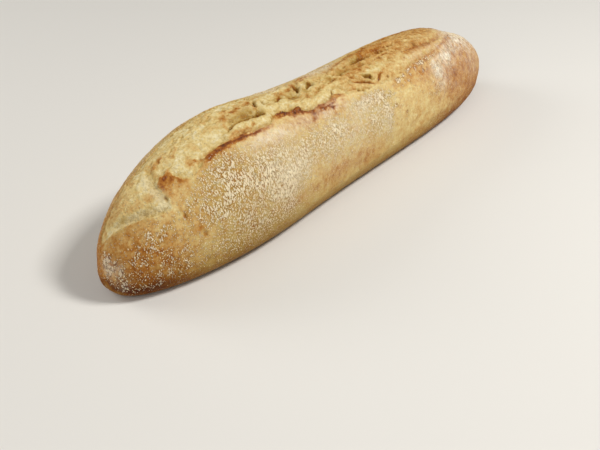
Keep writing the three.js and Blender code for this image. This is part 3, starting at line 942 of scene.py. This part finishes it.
class Surface:
    """The loaf's grid of places with its relief and the maps of browning, flour, film, painted shade and
    dough.
    """

    def __init__(self, sizes):
        share = even_shares(ROWS)
        line = curve(SCORE_LINE, share * LENGTH / 2) / AROUND_RADIUS
        angle = column_angles(line)
        share = np.repeat(share[:, None], angle.shape[1], axis=1)
        self.plain = plain_points(share, angle).reshape(-1, 3)
        self.normal = outward(share, angle).reshape(-1, 3)
        self.along = (share * LENGTH / 2).ravel()
        self.around = (angle * AROUND_RADIUS).ravel()
        self.drift_along = layered(self.plain, WANDER_ALONG, self.along)
        self.drift_around = layered(self.plain, WANDER_AROUND, self.around)
        self.measure_edges()
        self.tear()
        self.measure_cracks()
        self.relief = self.shape(sizes)
        self.shade_cavities(angle.shape)
        self.bake = self.browning()
        self.flour, self.film = self.flouring()

    def measure_edges(self):
        """Ragged distance into the opened dough from its near and far edges, and the lip beside it."""
        ragged = curve(RAGGED, self.along)
        along = self.along + ragged * layered(self.plain, RAGGED_ALONG)
        around = self.around + ragged * layered(self.plain, RAGGED_AROUND)
        lip_path = [(edge.along, edge.around) for edge in CRUST_EDGE]
        inside = inside_outline(lip_path + FAR_EDGE, along, around)
        side = np.where(inside, 1.0, -1.0)
        distance, share = nearest_on_path(lip_path, along, around)
        self.from_lip = side * distance
        self.from_far = side * nearest_on_path(FAR_EDGE, along, around)[0]
        self.near_lip = np.abs(self.from_lip) < np.abs(self.from_far)
        depth = np.where(self.near_lip, self.from_lip, self.from_far)
        self.dough = smooth_step(-DOUGH_EDGE_SOFTNESS, DOUGH_EDGE_SOFTNESS, depth)
        places = np.linspace(0, 1, len(CRUST_EDGE))
        self.lip, self.furrow, self.lip_browning, self.lip_band = [
            np.interp(share, places, [getattr(edge, name) for edge in CRUST_EDGE])
            for name in ("lip", "furrow", "browning", "band")]

    def tear(self):
        """Folds, creases, strings and blisters of the torn dough, and how torn each place is."""
        self.torn = np.minimum(patches(TORN, self.along, self.around), 1.0) * self.dough
        self.folds = noise_values(self.plain, FOLDS)
        self.creases = self.torn * bell(noise_values(self.plain, CREASES), CREASE_WIDTH)
        self.strings = 1 - STRING_SHARPNESS * np.abs(noise_values(self.plain, STRINGS))
        self.blisters = noise_values(self.plain, BLISTERS)
        self.pits = self.dough * smooth_step(PIT_FROM, PIT_TO, noise_values(self.plain, PITS))

    def measure_cracks(self):
        """Depth of all cracks, the raised rim beside them and how much painted shade each place gets."""
        self.crack_depth = CREASE_DEPTH * self.creases
        self.crack_rim = np.zeros_like(self.along)
        self.hollow = CREASE_SHADE * self.creases * np.maximum(CREASE_EVEN + self.folds, 0)
        for crack in CRACKS:
            distance, share = nearest_on_path(crack.path, self.drift_along, self.drift_around)
            fullness = np.minimum(1, np.minimum(share, 1 - share) / CRACK_TAPER_SHARE)
            taper = CRACK_END_DEPTH_SHARE + (1 - CRACK_END_DEPTH_SHARE) * fullness
            half = crack.half_start + (crack.half_end - crack.half_start) * share
            half *= CRACK_END_WIDTH_SHARE + (1 - CRACK_END_WIDTH_SHARE) * taper
            opened = taper / (1 + (distance / half) ** CRACK_STEEPNESS)
            rim = taper * bell(distance - CRACK_RIM_AT * half, CRACK_RIM_WIDTH * half)
            rim *= min(1.0, crack.depth / CRACK_RIM_FULL_DEPTH)
            self.crack_depth = np.maximum(self.crack_depth, crack.depth * opened)
            self.crack_rim = np.maximum(self.crack_rim, rim)
            shade = taper / (1 + (distance / (HOLLOW_SPREAD * half)) ** CRACK_STEEPNESS)
            self.hollow = np.maximum(self.hollow, shade * crack.shade)
        uneven = HOLLOW_EVEN + HOLLOW_BY_FOLDS * self.folds + HOLLOW_BY_BLISTERS * self.blisters
        self.hollow *= np.clip(uneven, HOLLOW_LEAST, HOLLOW_MOST)
        self.hollow = np.maximum(self.hollow, PIT_SHADE * self.pits)

    def shape(self, sizes):
        """Rise of each place over the plain loaf, in mm."""
        lip = self.lip * np.exp(np.minimum(self.from_lip, 0) / LIP_RUN) * sizes.lip_scale
        furrow = self.furrow * bell(self.from_lip - FURROW_CENTRE, FURROW_WIDTH)
        opened = smooth_step(-LIP_EDGE_SOFTNESS, LIP_EDGE_SOFTNESS, self.from_lip)
        rise = ((1 - opened) * lip - opened * furrow) * self.near_lip
        far_lip = FAR_STEP * np.exp(np.minimum(self.from_far, 0) / FAR_STEP_RUN) * (self.from_far < 0)
        far_seam = FAR_SEAM_DEPTH * bell(self.from_far, FAR_SEAM_WIDTH) * (FAR_SEAM_EVEN + self.folds)
        rise += (far_lip - far_seam) * ~self.near_lip
        rise += patches(LUMPS, self.along, self.around)
        wander = self.drift_around + STRAND_WANDER * self.folds
        rise += strokes(STRANDS, self.drift_along, wander, rope, np.maximum)
        rise += CRACK_RIM * self.crack_rim - self.crack_depth - PIT_DEPTH * self.pits
        torn = FOLD_RISE * self.folds + STRING_RISE * self.strings + BLISTER_RISE * self.blisters
        rise += sizes.tear_scale * self.torn * torn + DOUGH_BLISTER_RISE * self.dough * self.blisters
        rise += (1 - self.dough) * layered(self.plain, CRUST_RELIEF)
        return rise * (1 - smooth_step(RELIEF_FULL_TO, RELIEF_ENDS_AT, np.abs(self.around)))

    def shade_cavities(self, shape):
        """Painted shade in the hollows of the dough, by how far they lie below their surroundings, and under
        the flanks and the near tip.
        """
        level = self.relief.reshape(shape)
        around = np.zeros_like(level)
        steps = range(-CAVITY_REACH, CAVITY_REACH + 1)
        for step in steps:
            around += np.roll(level, step, 0) + np.roll(level, step, 1)
        below = around.ravel() / (2 * len(steps)) - self.relief
        cavity = np.clip(below / CAVITY_DEPTH, 0, 1) * self.dough * CAVITY_SHADE
        self.hollow = np.maximum(self.hollow, cavity)
        # Painted shade under the flanks and under the near tip
        under = smooth_step(UNDERSIDE_FROM, UNDERSIDE_TO, np.abs(self.around))
        under = UNDERSIDE_SHADE * under + patches(PAINTED_SHADE_PATCHES, self.along, self.around)
        hollow = np.minimum(np.maximum(self.hollow, under), 1)
        self.hollow = hollow * (1 - HOLLOW_DEEPENS + HOLLOW_DEEPENS * hollow ** 2)

    def browning(self):
        """Level of browning, 0 to 1."""
        blotch = layered(self.plain, BLOTCHES, 1.0)
        streaks = strokes(BROWN_STROKES, self.drift_along, self.drift_around, bell, np.add)
        dough = curve(DOUGH_BAKE, self.along) + blotch * patches(DOUGH_BROWNED, self.along, self.around)
        strings = STRING_BROWNING * np.maximum(self.strings, 0)
        dough += self.torn * (strings * np.maximum(self.folds + STRING_BROWNS_OVER, 0))
        dough += FOLD_BROWNING * self.folds - RIM_PAINTED_HIGHLIGHT * self.crack_rim
        flecks = FLECK_BROWNING * noise_values(self.plain, FLECKS)
        dough += flecks * (FLECKS_ON_SMOOTH + (1 - FLECKS_ON_SMOOTH) * self.torn)
        crust = curve(CRUST_BAKE, self.along) + blotch * patches(CRUST_BROWNED, self.along, self.around)
        crust = np.minimum(crust, SPOT_SHOULDER + SPOT_SHARE * (crust - SPOT_SHOULDER))
        dough = DOUGH_DARKEST * np.tanh((dough + blotch * streaks) / DOUGH_DARKEST)
        level = crust + blotch * streaks * (1 - self.dough) + (dough - crust) * self.dough
        return np.clip(level + self.scorching(), 0, EAR_DARKEST)

    def scorching(self):
        """Browning that the edge of the lip adds."""
        ragged = noise_values(self.plain, EAR_RAGGED)
        outside = np.maximum(-self.from_lip, 0)
        outside *= EAR_EVEN + EAR_BY_FOLDS * self.folds + EAR_BY_RAGGED * ragged
        inside = np.maximum(self.from_lip, 0)
        band = smooth_step(self.lip_band, EAR_FULL_SHARE * self.lip_band, outside)
        band += EAR_GLOW_SHARE * bell(outside, EAR_GLOW)
        mottle = 1.0 + EAR_MOTTLE * ragged + EAR_FOLD_MOTTLE * self.folds
        return self.lip_browning * band * bell(inside, EAR_INNER) * mottle * (self.around < EAR_ENDS_AT)

    def flouring(self):
        """Shares of the surface that grains and a film of flour cover, 0 to 1."""
        uneven = layered(self.plain, FLOUR_UNEVEN, 1.0)
        gather = curve(FLOUR_GATHERS, self.along)
        clusters = np.maximum(1 + gather * noise_values(self.plain, FLOUR_CLUSTERS), 0)
        cover = (FLOUR_BASE + patches(FLOUR, self.along, self.around)) * uneven * clusters
        bare = smooth_step(curve(BARE_FROM, self.along), curve(BARE_TO, self.along), -self.from_lip)
        bare = np.where(self.near_lip & (self.around < LIP_SIDE_TO), bare, 1 - self.dough)
        film = patches(FILM, self.along, self.around) * layered(self.plain, FILM_UNEVEN, uneven)
        film *= 1 - smooth_step(FILM_THINS_FROM, FILM_GONE_AT, self.bake)
        return np.clip(cover * bare, 0, 1), np.clip(film, 0, 1)

    def points(self):
        """Finished places, in metres."""
        places = self.plain + self.normal * self.relief[:, None]
        places[:, 2] = np.maximum(places[:, 2], 0)
        lean = TIP_LEAN * smooth_step(TIP_LEANS_FROM, -LENGTH / 2, places[:, 0])
        places[:, 0] += lean * np.clip(places[:, 2] / TIP_LEANS_ABOUT - 1, -1, 1)
        return places * MM


def add_node(tree, kind, settings=None, inputs=None):
    """Adds a node, sets its properties and sets or links its inputs."""
    node = tree.nodes.new(kind)
    for name, value in (settings or {}).items():
        setattr(node, name, value)
    for name, value in (inputs or {}).items():
        if isinstance(value, bpy.types.NodeSocket):
            tree.links.new(value, node.inputs[name])
        else:
            node.inputs[name].default_value = value
    return node


def new_material(name):
    """Empty node material."""
    material = bpy.data.materials.new(name)
    material.use_nodes = True
    material.node_tree.nodes.clear()
    return material, material.node_tree


def opaque(values):
    """Colour with full alpha."""
    return (*values[:3], 1.0)


def browned_tone(tree, place, level, colours):
    """Colour of dough or crust at its level of browning, with fine mottling."""
    for size, strength in CRUST_MOTTLE:
        speckle = add_node(tree, "ShaderNodeTexNoise", None, {
            "Vector": place, "Scale": 1 / (size * MM), "Detail": MOTTLE_DETAIL,
            "Roughness": MOTTLE_ROUGHNESS})
        centred = add_node(tree, "ShaderNodeMath", {"operation": "SUBTRACT"}, {
            0: speckle.outputs["Fac"], 1: NOISE_MIDDLE})
        level = add_node(tree, "ShaderNodeMath", {"operation": "MULTIPLY_ADD"}, {
            0: centred.outputs[0], 1: strength, 2: level}).outputs[0]
    ramp = add_node(tree, "ShaderNodeValToRGB", None, {"Fac": level})
    tones = [colours.raw, colours.cream, colours.golden, colours.amber, colours.brown, colours.dark]
    stops = ramp.color_ramp.elements
    stops.remove(stops[-1])
    stops[0].color = opaque(tones[0])
    for i, tone in enumerate(tones[1:], 1):
        stops.new(i / (len(tones) - 1)).color = opaque(tone)
    return ramp.outputs["Color"]


def flour_granules(tree, place, flour, size):
    """Distance of each place from the middle of its granule of flour, and how much the granule covers it."""
    drawn_out = add_node(tree, "ShaderNodeVectorMath", {"operation": "MULTIPLY"}, {
        0: place, 1: GRANULE_STRETCH})
    cells = add_node(tree, "ShaderNodeTexVoronoi", None, {
        "Vector": drawn_out.outputs["Vector"], "Scale": 1 / size})
    distance = cells.outputs["Distance"]
    reach = add_node(tree, "ShaderNodeMapRange", None, {
        "Value": flour, "To Min": GRANULE_BARE, "To Max": GRANULE_FULL})
    inside = add_node(tree, "ShaderNodeMath", {"operation": "SUBTRACT"}, {
        0: reach.outputs["Result"], 1: distance})
    granule = add_node(tree, "ShaderNodeMapRange", {"interpolation_type": "SMOOTHSTEP"}, {
        "Value": inside.outputs[0], "From Max": GRANULE_EDGE})
    return distance, granule.outputs["Result"]


def shaded_tone(tree, tone, hollow, shades, tint):
    """Tone darkened by painted shade, tinted once for each bounce of light in the hollows; a shade has a
    mask, where it lies, and a depth.
    """
    for mask, where, depth in shades:
        masked = add_node(tree, "ShaderNodeMath", {"operation": "MULTIPLY"}, {0: mask, 1: where})
        hollow = add_node(tree, "ShaderNodeMath", {"operation": "MULTIPLY_ADD"}, {
            0: masked.outputs[0], 1: depth, 2: hollow}).outputs[0]
    for bounce in range(HOLLOW_BOUNCES):
        tone = add_node(tree, "ShaderNodeMix", {"data_type": "RGBA", "blend_type": "MULTIPLY"}, {
            "Factor": hollow, "A": tone, "B": opaque(tint)}).outputs["Result"]
    return tone


def powder_cover(tree, granule, distance, film):
    """How much powdered flour covers each place: granules, and a film that thins away from their middles."""
    dusted = add_node(tree, "ShaderNodeMath", {"operation": "MULTIPLY"}, {0: granule, 1: GRANULE_COVER})
    thinned = add_node(tree, "ShaderNodeMath", {"operation": "MULTIPLY_ADD"}, {
        0: distance, 1: FILM_THINS, 2: FILM_FULL})
    grainy = add_node(tree, "ShaderNodeMath", {"operation": "MULTIPLY"}, {0: thinned.outputs[0], 1: film})
    powder = add_node(tree, "ShaderNodeMath", {"operation": "MAXIMUM", "use_clamp": True}, {
        0: dusted.outputs[0], 1: grainy.outputs[0]})
    return powder.outputs[0]


def crust_bump(tree, place, granule, crumb, dough):
    """Fine relief of the granules of flour, the open crumb of the dough and the grain of the crust."""
    height = add_node(tree, "ShaderNodeMath", {"operation": "MULTIPLY"}, {
        0: granule, 1: GRANULE_BUMP}).outputs[0]
    raised = add_node(tree, "ShaderNodeMath", {"operation": "MULTIPLY"}, {0: crumb, 1: dough})
    height = add_node(tree, "ShaderNodeMath", {"operation": "MULTIPLY_ADD"}, {
        0: raised.outputs[0], 1: CRUMB_BUMP, 2: height}).outputs[0]
    for size, share in CRUST_GRAIN:
        pores = add_node(tree, "ShaderNodeTexNoise", None, {
            "Vector": place, "Scale": 1 / (size * MM), "Detail": CRUST_GRAIN_DETAIL,
            "Roughness": CRUST_GRAIN_ROUGHNESS})
        height = add_node(tree, "ShaderNodeMath", {"operation": "MULTIPLY_ADD"}, {
            0: pores.outputs["Fac"], 1: share, 2: height}).outputs[0]
    bump = add_node(tree, "ShaderNodeBump", None, {
        "Height": height, "Strength": CRUST_BUMP, "Distance": BUMP_HEIGHT * MM})
    return bump.outputs["Normal"]


def crust_material(colours, sizes):
    """Baked wheat crust: matt and unevenly browned, with fine pores, painted shade in the hollows and
    powdered flour.
    """
    material, tree = new_material("baked_wheat_crust")
    place = add_node(tree, "ShaderNodeTexCoord").outputs["Object"]
    level, flour, film, hollow, dough = [
        add_node(tree, "ShaderNodeAttribute", {"attribute_name": name}).outputs["Fac"]
        for name in SURFACE_MAPS]
    distance, granule = flour_granules(tree, place, flour, sizes.granule_size)
    gap = add_node(tree, "ShaderNodeMath", {"operation": "SUBTRACT"}, {0: 1.0, 1: granule}).outputs[0]
    crumb = add_node(tree, "ShaderNodeTexNoise", None, {
        "Vector": place, "Scale": 1 / (CRUMB_SIZE * MM), "Detail": CRUMB_DETAIL,
        "Roughness": CRUMB_ROUGHNESS}).outputs["Fac"]
    pore = add_node(tree, "ShaderNodeMath", {"operation": "SUBTRACT", "use_clamp": True}, {
        0: NOISE_MIDDLE, 1: crumb}).outputs[0]
    tone = browned_tone(tree, place, level, colours)
    # Painted shade between the granules of flour and in the pores of the crumb
    shades = [(gap, flour, GRANULE_GAP), (pore, dough, CRUMB_SHADE)]
    shaded = shaded_tone(tree, tone, hollow, shades, colours.hollow)
    powder = powder_cover(tree, granule, distance, film)
    surface = add_node(tree, "ShaderNodeMix", {"data_type": "RGBA"}, {
        "Factor": powder, "A": shaded, "B": opaque(colours.flour)})
    roughness = add_node(tree, "ShaderNodeMapRange", None, {
        "Value": powder, "To Min": CRUST_ROUGHNESS, "To Max": FLOUR_ROUGHNESS})
    shader = add_node(tree, "ShaderNodeBsdfPrincipled", None, {
        "Base Color": surface.outputs["Result"], "Roughness": roughness.outputs["Result"], "IOR": CRUST_IOR,
        "Specular IOR Level": CRUST_SPECULAR, "Normal": crust_bump(tree, place, granule, crumb, dough)})
    add_node(tree, "ShaderNodeOutputMaterial", None, {"Surface": shader.outputs["BSDF"]})
    return material


def flour_material(colours):
    """Loose wheat flour: chalky cream white, quite matt, with an amber low rim, partly crust showing through
    and partly painted warm shade.
    """
    material, tree = new_material("wheat_flour")
    place = add_node(tree, "ShaderNodeTexCoord").outputs["Object"]
    tint = add_node(tree, "ShaderNodeTexNoise", None, {
        "Vector": place, "Scale": 1 / (FLOUR_TINT_SIZE * MM), "Detail": FLOUR_TINT_DETAIL})
    shade = add_node(tree, "ShaderNodeMix", {"data_type": "RGBA"}, {
        "Factor": tint.outputs["Fac"], "A": opaque(colours.cream), "B": opaque(colours.flour)})
    thin = add_node(tree, "ShaderNodeAttribute", {"attribute_name": "thin"}).outputs["Fac"]
    shows = add_node(tree, "ShaderNodeMath", {"operation": "MULTIPLY"}, {0: thin, 1: CRUST_AND_SHADE_SHOW})
    seen = add_node(tree, "ShaderNodeMix", {"data_type": "RGBA"}, {
        "Factor": shows.outputs[0], "A": shade.outputs["Result"], "B": opaque(colours.amber)})
    shader = add_node(tree, "ShaderNodeBsdfPrincipled", None, {
        "Base Color": seen.outputs["Result"], "Roughness": FLOUR_ROUGHNESS,
        "Specular IOR Level": FLOUR_SPECULAR})
    add_node(tree, "ShaderNodeOutputMaterial", None, {"Surface": shader.outputs["BSDF"]})
    return material


def floor_material(colours):
    """Painted studio board: pale and matt."""
    material, tree = new_material("painted_board")
    shader = add_node(tree, "ShaderNodeBsdfPrincipled", None, {
        "Base Color": opaque(colours.floor), "Roughness": FLOOR_ROUGHNESS,
        "Specular IOR Level": FLOOR_SPECULAR})
    add_node(tree, "ShaderNodeOutputMaterial", None, {"Surface": shader.outputs["BSDF"]})
    return material


def finish_piece(piece, name, material):
    """Names a piece, gives it its material and lets it ride on the loaf's body."""
    piece.name = name
    piece.data.name = name
    piece.data.materials.clear()
    piece.data.materials.append(material)
    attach(piece, "root")


def sphere_cells(mesh):
    """Row and column of each corner of a sphere on its pole; the first and last rows are the poles."""
    places = np.empty(len(mesh.vertices) * 3)
    mesh.vertices.foreach_get("co", places)
    places = places.reshape(-1, 3)
    places /= np.linalg.norm(places, axis=1, keepdims=True)
    columns = NEAR_COLUMNS + FAR_COLUMNS
    row = ROWS + 1 - np.rint(np.arccos(np.clip(places[:, 2], -1, 1)) / math.pi * (ROWS + 1)).astype(int)
    turn = (1.5 * math.pi - np.arctan2(places[:, 1], places[:, 0])) / (2 * math.pi)
    column = np.rint(turn * columns).astype(int) % columns
    return row, column


class BAGUETTE_OT_loaf(bpy.types.Operator):
    """Models the loaf with its cuts, lip, torn dough and browning"""
    bl_idname = "baguette.loaf"
    bl_label = "Loaf"

    def execute(self, context):
        scene = context.scene
        bpy.ops.object.select_all(action="DESELECT")
        columns = NEAR_COLUMNS + FAR_COLUMNS
        bpy.ops.mesh.primitive_uv_sphere_add(segments=columns, ring_count=ROWS + 1, radius=LENGTH / 2 * MM)
        piece = context.object
        mesh = piece.data
        row, column = sphere_cells(mesh)
        surface = Surface(scene.baguette_sizes)
        on_body = (row > 0) & (row <= ROWS)
        cell = np.where(on_body, (row - 1) * columns + column, 0)
        tips = np.array([(-LENGTH / 2, 0, TIP_LIFT), (LENGTH / 2, 0, TIP_LIFT)]) * MM
        tip = tips[np.where(row == 0, 0, 1)]
        places = np.where(on_body[:, None], surface.points()[cell], tip)
        mesh.vertices.foreach_set("co", places.ravel())
        end_cell = np.where(row == 0, 0, (ROWS - 1) * columns)
        cell = np.where(on_body, cell, end_cell)
        for name in SURFACE_MAPS:
            attribute = mesh.attributes.new(name, "FLOAT", "POINT")
            attribute.data.foreach_set("value", getattr(surface, name)[cell].astype(np.float32))
        mesh.update()
        bpy.ops.object.shade_smooth()
        finish_piece(piece, "baked_loaf", crust_material(scene.baguette_colours, scene.baguette_sizes))
        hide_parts("loaf")
        return {"FINISHED"}


def spaced(places, spacing):
    """Indices of the places that keep the spacing from those taken before them."""
    steps = [(i, j, k) for i in (-1, 0, 1) for j in (-1, 0, 1) for k in (-1, 0, 1)]
    taken = {}
    kept = []
    for index, place in enumerate(places.tolist()):
        x, y, z = [math.floor(value / spacing) for value in place]
        beside = [taken.get((x + i, y + j, z + k), place) for i, j, k in steps]
        if all(other is place or math.dist(place, other) >= spacing for other in beside):
            taken[x, y, z] = place
            kept.append(index)
    return kept


def ordered_quads(mesh):
    """Corners of the four-cornered faces in a fixed order, since a new sphere lists them in any order."""
    quads = np.array([polygon.vertices[:] for polygon in mesh.polygons if len(polygon.vertices) == 4])
    turned = (quads.argmin(axis=1)[:, None] + np.arange(4)) % 4
    quads = np.take_along_axis(quads, turned, axis=1)
    return quads[np.lexsort(quads.T[::-1])]


def floured_faces():
    """Four-cornered faces of the loaf: places and flour of their corners, unit normals and areas."""
    mesh = bpy.data.objects["baked_loaf"].data
    places = np.empty(len(mesh.vertices) * 3)
    mesh.vertices.foreach_get("co", places)
    flour = np.empty(len(mesh.vertices), np.float32)
    mesh.attributes["flour"].data.foreach_get("value", flour)
    quads = ordered_quads(mesh)
    corners = places.reshape(-1, 3)[quads]
    first, second, third, fourth = corners.transpose(1, 0, 2)
    upright = np.cross(third - first, fourth - second)
    area = np.linalg.norm(upright, axis=1) / 2
    normals = upright / np.maximum(2 * area, SMALLEST_AREA)[:, None]
    return corners, flour[quads], normals, area


def throw(faces, count, spacing, rng):
    """Faces and places where grains land: more where flour lies thick, and none closer than the spacing."""
    corners, flour, normals, area = faces
    weight = area * flour.mean(axis=1) ** FLOUR_GATHERING * (normals[:, 2] > LOWEST_NORMAL)
    chosen = rng.choice(len(area), count, p=weight / weight.sum())
    u, v = rng.random((2, count, 1))
    first, second, third, fourth = corners[chosen].transpose(1, 0, 2)
    places = (1 - u) * (1 - v) * first + u * (1 - v) * second + u * v * third + (1 - u) * v * fourth
    kept = spaced(places * GRANULE_STRETCH, spacing)
    return chosen[kept], places[kept]


def scatter(context, name, count, smallest, largest, spacing, seed):
    """Joins copies of the active small solid, strewn over the loaf where flour lies, into one mesh."""
    shape = context.object
    corners = np.array([vertex.co[:] for vertex in shape.data.vertices])
    sides = np.array([polygon.vertices[:] for polygon in shape.data.polygons])
    rng = np.random.default_rng(seed)
    faces = floured_faces()
    chosen, middle = throw(faces, count, spacing, rng)
    count = len(chosen)
    flour = faces[1][chosen, 0]
    up = faces[2][chosen]
    across = np.cross(up, (1.0, 0.0, 0.0) + GRAIN_TURN * rng.normal(size=(count, 3)))
    across /= np.linalg.norm(across, axis=1, keepdims=True)
    other = np.cross(up, across)
    radius = (smallest + (largest - smallest) * rng.random((count, 1)) ** GRAIN_RARITY) / 2
    radius *= THIN_FLOUR_SIZE + (1 - THIN_FLOUR_SIZE) * np.minimum(flour / THICK_FLOUR, 1)[:, None]
    wide = radius * rng.uniform(*GRAIN_LENGTHS, (count, 1))
    tall = radius * GRAIN_FLATNESS * rng.uniform(*GRAIN_HEIGHTS, (count, 1))
    knobs = corners[None] * rng.uniform(*GRAIN_KNOBS, (count, len(corners), 1))
    knobs[:, :, :2] *= np.where(corners[:, 2:] > GRAIN_TOP_FROM, GRAIN_TAPER, 1.0)
    height = knobs[:, :, 2:] + 1 - 2 * GRAIN_SUNK_SHARE
    points = (middle[:, None] + knobs[:, :, :1] * (across * wide)[:, None]
              + knobs[:, :, 1:2] * (other * radius)[:, None] + height * (up * tall)[:, None])
    indices = (sides[None] + (np.arange(count) * len(corners))[:, None, None]).reshape(-1, sides.shape[1])
    mesh = bpy.data.meshes.new(name)
    mesh.from_pydata(points.reshape(-1, 3), [], indices)
    mesh.update()
    # Low rim of each grain, tinted amber later: partly crust showing through, partly painted warm shade
    thin = np.clip(1 - height / GRAIN_THIN_BELOW, 0, 1)
    mesh.attributes.new("thin", "FLOAT", "POINT").data.foreach_set("value", thin.ravel())
    piece = bpy.data.objects.new(name, mesh)
    context.collection.objects.link(piece)
    bpy.data.objects.remove(shape)
    return piece


def add_sixteen_sided_grain():
    """Adds a grain with sixteen three-cornered sides."""
    bpy.ops.object.select_all(action="DESELECT")
    bpy.ops.mesh.primitive_uv_sphere_add(segments=4, ring_count=3, radius=1.0)
    bpy.ops.object.mode_set(mode="EDIT")
    bpy.ops.mesh.select_all(action="SELECT")
    bpy.ops.mesh.quads_convert_to_tris()
    bpy.ops.object.mode_set(mode="OBJECT")


class BAGUETTE_OT_flour_clumps(bpy.types.Operator):
    """Strews coarse clumps of flour over the crust"""
    bl_idname = "baguette.flour_clumps"
    bl_label = "Flour clumps"

    def execute(self, context):
        sizes = context.scene.baguette_sizes
        bpy.ops.object.select_all(action="DESELECT")
        bpy.ops.mesh.primitive_ico_sphere_add(subdivisions=1, radius=1.0)
        piece = scatter(context, "flour_clumps", sizes.clumps, CLUMP_SMALLEST * MM, sizes.clump_size,
                        CLUMP_SPACING * MM, SEED)
        finish_piece(piece, "flour_clumps", flour_material(context.scene.baguette_colours))
        return {"FINISHED"}


class BAGUETTE_OT_flour_grains(bpy.types.Operator):
    """Strews fine grains of flour over the crust"""
    bl_idname = "baguette.flour_grains"
    bl_label = "Flour grains"

    def execute(self, context):
        sizes = context.scene.baguette_sizes
        add_sixteen_sided_grain()
        piece = scatter(context, "flour_grains", sizes.grains, GRAIN_SMALLEST * MM, sizes.grain_size,
                        GRAIN_SPACING * MM, SEED + 1)
        finish_piece(piece, "flour_grains", bpy.data.materials["wheat_flour"])
        return {"FINISHED"}


def add_soft_box(box, aim):
    """Adds a square soft light that looks at a point."""
    bpy.ops.object.light_add(type="AREA", location=box.place)
    light = bpy.context.object
    light.name = box.name
    light.data.shape = "SQUARE"
    light.data.size = box.width
    light.data.energy = box.power
    light.rotation_euler = (aim - Vector(box.place)).to_track_quat("-Z", "Y").to_euler()


class BAGUETTE_OT_stage(bpy.types.Operator):
    """Sets the plain floor, the soft lights and the camera"""
    bl_idname = "baguette.stage"
    bl_label = "Stage"

    def execute(self, context):
        scene = context.scene
        bpy.ops.object.select_all(action="DESELECT")
        bpy.ops.mesh.primitive_plane_add(size=FLOOR_SIZE * MM, location=(0, 0, -FLOOR_GAP * MM))
        floor = context.object
        floor.name = "floor"
        floor.data.materials.append(floor_material(scene.baguette_colours))
        scene.view_settings.view_transform = "Standard"
        self.light(scene)
        self.camera(context)
        return {"FINISHED"}

    def light(self, scene):
        """Soft key from above on the right, fill from the left, light from above and behind, and a room."""
        middle = Vector((0.0, 0.0, HEIGHT / 2 * MM))
        for box in SOFT_BOXES:
            add_soft_box(box, middle)
        world = bpy.data.worlds.new("studio_room")
        world.use_nodes = True
        background = world.node_tree.nodes["Background"]
        background.inputs["Color"].default_value = WHITE
        background.inputs["Strength"].default_value = ROOM_LIGHT
        scene.world = world

    def camera(self, context):
        """Camera, held level, that looks down along the loaf from its near end."""
        turn = math.radians(CAMERA_AZIMUTH)
        lift = math.radians(CAMERA_ELEVATION)
        back = Vector((-math.sin(turn) * math.cos(lift), -math.cos(turn) * math.cos(lift), math.sin(lift)))
        right = Vector((math.cos(turn), -math.sin(turn), 0.0))
        up = back.cross(right)
        aim = Vector((0, 0, HEIGHT / 2)) + right * AIM_RIGHT + up * AIM_UP
        bpy.ops.object.camera_add(location=(aim + back * CAMERA_DISTANCE) * MM)
        camera = context.object
        camera.name = "camera"
        camera.rotation_euler = Matrix((right, up, back)).transposed().to_euler()
        camera.data.lens = CAMERA_LENS
        camera.data.sensor_width = CAMERA_SENSOR
        camera.data.clip_start = CAMERA_NEAREST * MM
        context.scene.camera = camera


class BAGUETTE_PT_panel(bpy.types.Panel):
    """Lists the steps, sizes and colours"""
    bl_label = "Sourdough Baguette"
    bl_idname = "BAGUETTE_PT_panel"
    bl_space_type = "VIEW_3D"
    bl_region_type = "UI"
    bl_category = "Baguette"

    def draw(self, context):
        layout = self.layout
        for step in STEPS:
            layout.operator(step.bl_idname)
        for group in (context.scene.baguette_sizes, context.scene.baguette_colours):
            column = layout.column()
            for name in group.__annotations__:
                column.prop(group, name)


STEPS = (BAGUETTE_OT_loaf, BAGUETTE_OT_flour_clumps, BAGUETTE_OT_flour_grains, BAGUETTE_OT_stage)
CLASSES = (BaguetteSizes, BaguetteColours, *STEPS, BAGUETTE_PT_panel)


def register():
    """Adds the classes and the scene's settings."""
    for item in CLASSES:
        bpy.utils.register_class(item)
    bpy.types.Scene.baguette_sizes = bpy.props.PointerProperty(type=BaguetteSizes)
    bpy.types.Scene.baguette_colours = bpy.props.PointerProperty(type=BaguetteColours)


def unregister():
    """Takes the settings and classes away."""
    del bpy.types.Scene.baguette_colours
    del bpy.types.Scene.baguette_sizes
    for item in reversed(CLASSES):
        bpy.utils.unregister_class(item)


def main():
    """Runs every step in order."""
    register()
    bpy.ops.baguette.loaf()
    bpy.ops.baguette.flour_clumps()
    bpy.ops.baguette.flour_grains()
    bpy.ops.baguette.stage()


if __name__ == "__main__":
    main()
